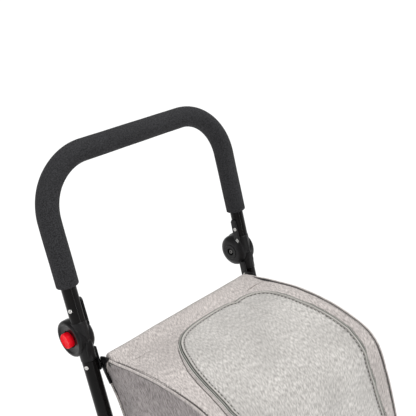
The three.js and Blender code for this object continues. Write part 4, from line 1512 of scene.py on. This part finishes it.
def makeBagBody():
    half, step = bagSizes["halfWidth"], bagSizes["edgeStep"]
    hole = np.vstack([zipXv, evenly([zipXv[-1], zipXv[0]], step)[1:-1]])
    # the last argument paints shade along the crown's edges, weaker at the side seams and none near the rear
    # hem
    crown = clothPanel(
        "bagCrown", rectangle(half, 0.0, crownProfile.length, step), [hole], onCrown,
        lambda p, d: 0.0 if p[1] < 0.02 else rampDown(d, 0.0030, 0.30 if abs(p[0]) > half - 0.006 else 0.6),
    )
    finishPanel(crown, "bagCloth", away)
    rides(crown, "frame")
    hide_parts("bag_body")

    # the last argument paints shade along all of the back's edges
    back = clothPanel(
        "bagBack", rectangle(half, 0.0, backProfile.length, 0.006), [], layOn(backProfile),
        lambda p, d: rampDown(d, 0.0030, 0.8), 0.009,
    )
    finishPanel(back, "bagCloth", away)
    rides(back, "frame")

    def sideSeamShade(p, d):
        # painted shade: the dark seam line runs under the crown's piping, not up the back
        backY = np.interp(p[1], backCurve[:, 1], backCurve[:, 0])
        return 1.0 if d < 0.0060 and (p[0] < backY - 0.012 or p[1] > 0.699) else 0.0

    for word, sign in sides:
        def onSide(y, z):
            return settle((sign * half, y, z), (sign, 0, 0))
        panel = clothPanel("bagSide_" + word, outlineYz, [], onSide, sideSeamShade)
        finishPanel(panel, "sideCloth", lambda p: Vector((sign, 0, 0)))
        rides(panel, "frame")


sleeveSizes = {
    "section": [
        (80, 715.6), (90, 714.3), (100, 713.7), (112, 713.4), (122.5, 711.9), (130.0, 707.8),
        (133.4, 702.0), (132.0, 696.5), (127, 692.0), (119, 690.0), (100, 694.0), (84, 706.0),
    ],
    "half": 0.1768, "sag": -0.0018, "lump": 0.0012, "lumpX": 0.163, "joinV": 0.0335, "joinZ": 0.7146,
    "rows": 90,
}


def sleeveSag(x):
    return sleeveSizes["sag"] * ((x / sleeveSizes["half"] + 1) / 2) ** 3


def makeRodSleeve():
    # the crown's rear hem, turned round the rod
    shape = evenly(splinePoints(sleeveSizes["section"] + sleeveSizes["section"][:1], 8) * mm, 0.0030)[:-1]
    middle = shape.mean(0)
    half, rows = sleeveSizes["half"], sleeveSizes["rows"]
    verts, uvs = [], []
    around = runLengths(shape)
    for x in np.linspace(-half, half, rows):
        size = 1 - 0.45 * max(0, 1 - (half - abs(x)) / 0.007) ** 2
        sag = sleeveSag(x)
        level = onCrown(x, sleeveSizes["joinV"]).z - sleeveSizes["joinZ"]
        for (y, z), v in zip(shape, around):
            p = middle + (np.array((y, z)) - middle) * size
            lump = sleeveSizes["lump"] * math.exp(-((x - sleeveSizes["lumpX"]) / 0.010) ** 2)
            out = (p - middle) / max(1e-6, np.linalg.norm(p - middle))
            p = p + out * (lump + 0.0008 * softNoise((x, y, z), 3.0, 60.0))
            join = ease(0.118 - y, 0.022)
            verts.append((x, p[0], p[1] + sag * (1 - join) + level * join))
            uvs.append((x, 0.03 - v))
    obj = outward(meshObject("rodSleeve", verts, tubeFaces(rows, len(shape))))
    layer = obj.data.uv_layers.new(name="cloth")
    for loop in obj.data.loops:
        layer.data[loop.index].uv = uvs[loop.vertex_index]
    dress(obj, "bagCloth", 50)
    rides(obj, "frame")


def lineOnCrown(line, lift=0.0):
    out = []
    for x, v in line:
        p, n = crownProfile.at(x, v)
        out.append((settle(p, n, lift), n))
    return out


def lengthUv(obj, line, ring, step):
    # a cloth UV for rings of points along a line: distance along it, and steps round it
    lengths = runLengths([item[0] for item in line])
    layer = obj.data.uv_layers.new(name="cloth")
    for loop in obj.data.loops:
        i = loop.vertex_index
        layer.data[loop.index].uv = (lengths[min(i // ring, len(lengths) - 1)], (i % ring) * step)


def clothTube(name, line, radius, look, count=12):
    # a piped cord under cloth
    obj = outward(sweep(name, [p for p, n in line], circle(radius, count)))
    lengthUv(obj, line, count, 2 * math.pi * radius / count)
    return dress(obj, look)


def ribbon(name, left, right, look, lift=0.0006, thick=0.0009):
    # a flat strip between two lines of (point, normal)
    verts = []
    across = 5
    steps = [k / (across - 1) for k in range(across)]
    for (start, startUp), (end, endUp) in zip(left, right):
        a, b = start + startUp * lift, end + endUp * lift
        for below, row in ((False, steps), (True, steps[::-1])):
            for t in row:
                up = (startUp * (1 - t) + endUp * t).normalized()
                verts.append(a.lerp(b, t) + up * (-0.0006 if below else thick * (1 - (2 * t - 1) ** 4)))
    ring = 2 * across
    obj = outward(meshObject(name, verts, tubeFaces(len(left), ring)))
    lengthUv(obj, left, ring, 0.0012)
    return dress(obj, look, 50)


def stitchRow(name, line, lift, spacing, size, body="frame"):
    row = stamp(name, walk(lineOnCrown(line, lift), spacing), "threadDark", *size)
    rides(row, body)


def makeLid():
    hole = besides(zipXv, -0.0012)
    # the lid ends a little above its cloth hinge, so that it can fold down
    foot = hemV - lidSizes["hingeGap"]
    hole = hole[hole[:, 1] < foot - 0.001]
    hole = np.vstack([[hole[0][0], foot], hole, [hole[-1][0], foot]])
    hole = np.vstack([hole, evenly([hole[-1], hole[0]], bagSizes["edgeStep"])[1:-1]])
    # the last argument paints shade in a thin line about 5.6 mm in from the lid's edge, along the stitch
    # groove
    lid = clothPanel(
        "bagLid", hole, [], layOn(crownProfile, 0.0006), lambda p, d: rampDown(abs(d - 0.0056), 0.0018, 0.20),
    )
    finishPanel(lid, "lidCloth", away)
    rides(lid, "lid")
    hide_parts("bag_lid")

    cord = lineOnCrown(besides(zipXv, -0.0018), 0.0016)
    rides(clothTube("lidPiping", cord, lidSizes["pipingR"], "cordCloth"), "lid")
    stitchLine = besides(zipXv, -lidSizes["stitchIn"])
    stitchRow("lidStitches", stitchLine, 0.0011, 0.0078, (0.0050, 0.0015, 0.0011), "lid")

    # nylon coil outside the piping: a tape, and teeth across it
    a, b = lidSizes["coilFrom"], lidSizes["coilFrom"] + lidSizes["coilWidth"]
    edges = [lineOnCrown(besides(zipXv, distance)) for distance in (a, b)]
    tape = ribbon("zipTape", *edges, "zipNylon", 0.0002, 0.0007)
    rides(tape, "frame")
    middle = walk(lineOnCrown(besides(zipXv, (a + b) / 2), 0.0012), 0.0017)
    places = [(p, along.cross(up), up) for p, along, up in middle]
    teeth = stamp("zipTeeth", places, "zipTeethNylon", 0.0019, 0.0011, 0.0012, ball=False)
    rides(teeth, "frame")
    stitchRow("zipEdgeStitches", besides(zipXv, b + 0.0009), 0.0006, 0.0034, (0.0030, 0.0007, 0.0006))

    # rain flap along the near side of the zip
    near = zipXv[: int(np.argmax(zipXv[:, 0] > -0.080))]
    fade = np.clip((len(near) - 1 - np.arange(len(near))) / 26, 0.02, 1)[:, None]

    def beside(distance):
        line = besides(zipXv, distance)[: len(near)]
        start = besides(zipXv, lidSizes["flapFrom"])[: len(near)]
        return start + (line - start) * fade
    a, b = lidSizes["flapFrom"], lidSizes["flapTo"]
    flap = ribbon("zipFlap", lineOnCrown(beside(a)), lineOnCrown(beside(b)), "flapCloth", 0.0007, 0.0007)
    rides(flap, "frame")
    edging = clothTube("flapEdge", lineOnCrown(beside(a + 0.0006), 0.0014), 0.0010, "cordCloth", 8)
    rides(edging, "frame")
    stitchRow("flapStitches", beside(b + 0.0008), 0.0006, 0.0040, (0.0035, 0.0011, 0.0007))

    # cloth hinge along the lid's lower edge
    fold = foldTape("lidHingeTape", hemV + 0.009, hemV - 0.009, 0.1475)
    start, end = crownProfile.at(0, hemV + 0.004)[0], crownProfile.at(0, hemV - 0.004)[0]
    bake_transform(fold)


def foldTape(name, v0, v1, halfWidth):
    rows, columns = 15, 80
    onTape = layOn(crownProfile, 0.0016)
    verts, faces = [], []
    for i in range(rows):
        for k in range(columns):
            x = -halfWidth + 2 * halfWidth * k / (columns - 1)
            verts.append(onTape(x, v0 + (v1 - v0) * i / (rows - 1)))
            if i and k:
                n = i * columns + k
                faces.append((n - columns - 1, n - columns, n, n - 1))
    obj = meshObject(name, verts, faces)
    layer = obj.data.uv_layers.new(name="cloth")
    for loop in obj.data.loops:
        i = loop.vertex_index
        layer.data[loop.index].uv = ((i % columns) / columns * 2 * halfWidth, i // columns / rows * (v0 - v1))
    faceOut(obj, away)
    obj.data.materials.append(mats["flapCloth"])
    addWall(obj, 0.0012)
    return smooth(obj)


def makeSeams():
    # piping round each side panel, with a stitch row on the crown beside it
    half = bagSizes["halfWidth"]
    loop = evenly(np.vstack([outlineYz, outlineYz[:1]]), 0.004)
    for word, sign in sides:
        line = []
        for i, (y, z) in enumerate(loop):
            ahead, behind = loop[min(i + 1, len(loop) - 1)], loop[max(i - 1, 0)]
            run = Vector((0, *(ahead - behind))).normalized()
            out = Vector((0, run.z, -run.y))
            spot = Vector((sign * (half - 0.0004), y, z))
            line.append((spot - out * 0.0014 - Vector((0, 0, edgeDrop(spot))), out))
        line[-1] = line[0]
        piping = clothTube("sidePiping_" + word, line, 0.0021, "bagCloth")
        rides(piping, "frame")
        row = [(sign * (half - 0.0054), v) for v in np.arange(0.006, crownProfile.length - 0.01, 0.003)]
        stitchRow("seamStitches_" + word, row, 0.0004, 0.0050, (0.0042, 0.0010, 0.0006))
    spots = []
    for x in np.arange(-half + 0.012, half - 0.040, 0.004):
        spots.append((Vector((x, 0.1243, 0.7121 + sleeveSag(x))), Vector((0, 0.42, 0.91))))
    hem = stamp("hemStitches", walk(spots, 0.0050), "zipTeethNylon", 0.0040, 0.0009, 0.0007)
    rides(hem, "frame")


makeBagBody()
makeRodSleeve()
print("bag panels ready")
makeLid()
makeSeams()
print("lid, zip and seams ready")


# rod and corner clips that hold the bag up, and the zip's slider and puller
clipOutline = [
    (133.5, 706.0), (124, 710.0), (113.5, 712.0), (113.2, 708.5), (116.5, 703), (120.4, 697), (121.5, 688),
    (119.5, 680.5), (114, 673), (108.4, 664.5), (112.8, 660.5), (119, 668.8), (124.2, 676.5), (129.5, 684),
    (134.4, 695.5),
]
hangerHalf = 0.1805
hanger = rod("hangerRod", (-hangerHalf, *bagSizes["rodAt"]), (hangerHalf, *bagSizes["rodAt"]), 0.0035, 28)
place(outward(hanger), "frame", "zinc", "hanger_rod", slot="steel")
for word, sign in sides:
    clip = plate(
        "cornerClip_" + word, [(y * mm, z * mm) for y, z in clipOutline], sign * 0.1802, sign * 0.1838,
        0.0008,
    )
    knob = turned(
        "knob", [(0, 0.1835), (0.0034, 0.1835), (0.0037, 0.1841), (0.0031, 0.1846), (0, 0.1848)],
        (0, 0.127, 0.700), sign, 36,
    )
    place(
        joinMeshes("cornerClip_" + word, [clip, knob]), "frame", "blackPlastic", "corner_clip_" + word,
        slot="plastic",
    )

low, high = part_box("zip_slider")
slider = [block("slider", (low.x, low.y + 0.001, low.z), (high.x, high.y, high.z), 0.0009, 3)]
for at in (low.x + 0.0014, high.x - 0.0030):
    slider.append(block("bridge", (at, low.y, 0.434), (at + 0.0016, low.y + 0.0014, 0.442), 0.0004, 2))
place(joinMeshes("zipSlider", slider), "frame", "zinc", "zip_slider", slot="steel")
low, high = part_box("zip_puller")
puller = block("zipPuller", low, high, 0.00035, 2)
hole = rod("hole", (0.158, low.y - 0.002, low.z + 0.004), (0.158, high.y + 0.002, low.z + 0.004), 0.0011, 20)
boolean(puller, outward(hole), "DIFFERENCE")
place(puller, "zip_puller", "zinc", "zip_puller", slot="steel")


# tray, base board and foot brake
low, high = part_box("base_tray")
tray = block("baseTray", low, high, 0.0022, 3)
boolean(
    tray,
    block(
        "pocket", (low.x + 0.003, low.y + 0.003, low.z + 0.005),
        (high.x - 0.003, high.y - 0.003, high.z + 0.01), 0.0015, 3,
    ),
    "DIFFERENCE",
)
along, up = Vector((0, 0, 1)), Vector((0, -1, 0))
places = [
    (Vector((x, low.y - 0.0002, (low.z + high.z) / 2)), along, up)
    for x in np.linspace(-0.165, 0.165, 23)
]
ribs = stamp("trayRibs", places, "blackPlastic", 0.012, 0.0022, 0.0016, ball=False)
place(joinMeshes("baseTray", [tray, ribs]), "frame", "blackPlastic", "base_tray", slot="plastic")
board = block("baseBoard", *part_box("bag_base_board"), 0.0012, 3)
place(board, "frame", "padVinyl", "bag_base_board", slot="board")

brakeSizes = {"r": 0.005, "lobe": 0.0123, "opens": 25, "z": 0.195, "webX": (0.236, 0.254)}


def makeBrake():
    axis = onLeg(0, (brakeSizes["z"] - legTop.z) / legRun.z)
    angle = math.atan2(legRun.z, legRun.y) + math.radians(brakeSizes["opens"])
    reach = Vector((0, math.cos(angle), math.sin(angle)))
    side = Vector((0, -math.sin(angle), math.cos(angle))) * brakeSizes["r"]
    lobe = axis + reach * brakeSizes["lobe"]
    parts = [outward(rod("shaft", (-0.256, axis.y, axis.z), (0.256, axis.y, axis.z), brakeSizes["r"], 28))]
    for word, sign in sides:
        inner, outer, arm = sign * brakeSizes["webX"][0], sign * brakeSizes["webX"][1], sign * 0.038
        web = [axis + side, axis - side, lobe - side, lobe + side]
        parts.append(plate("web", [(p.y, p.z) for p in web], inner, outer, 0.0006))
        parts.append(outward(rod("lobe", (inner, *lobe.yz), (outer, *lobe.yz), brakeSizes["r"], 28)))
        low, high = (arm - 0.004, axis.y, axis.z - 0.003), (arm + 0.004, axis.y + 0.082, axis.z + 0.003)
        parts.append(block("arm", low, high, 0.0012))
    low, high = (-0.042, axis.y + 0.052, axis.z - 0.003), (0.042, axis.y + 0.082, axis.z + 0.003)
    parts.append(block("plate", low, high, 0.0014))
    place(joinMeshes("brakeBar", parts), "brake", "blackPaint", "brake_bar", slot="paint")
    low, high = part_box("brake_pedal_pad")
    pad = block("brakePad", low, (high.x, high.y, high.z - 0.0008), 0.0022, 4)
    places = []
    for y in np.linspace(low.y + 0.006, high.y - 0.006, 6):
        places.append((Vector((0, y, high.z - 0.0009)), Vector((1, 0, 0)), Vector((0, 0, 1))))
    ridges = stamp("ridges", places, "tyreRubber", high.x * 2 - 0.012, 0.0030, 0.0018, ball=False)
    place(joinMeshes("brakePad", [pad, ridges]), "brake", "tyreRubber", "brake_pedal_pad", slot="rubber")


makeBrake()
print("tray and brake ready")
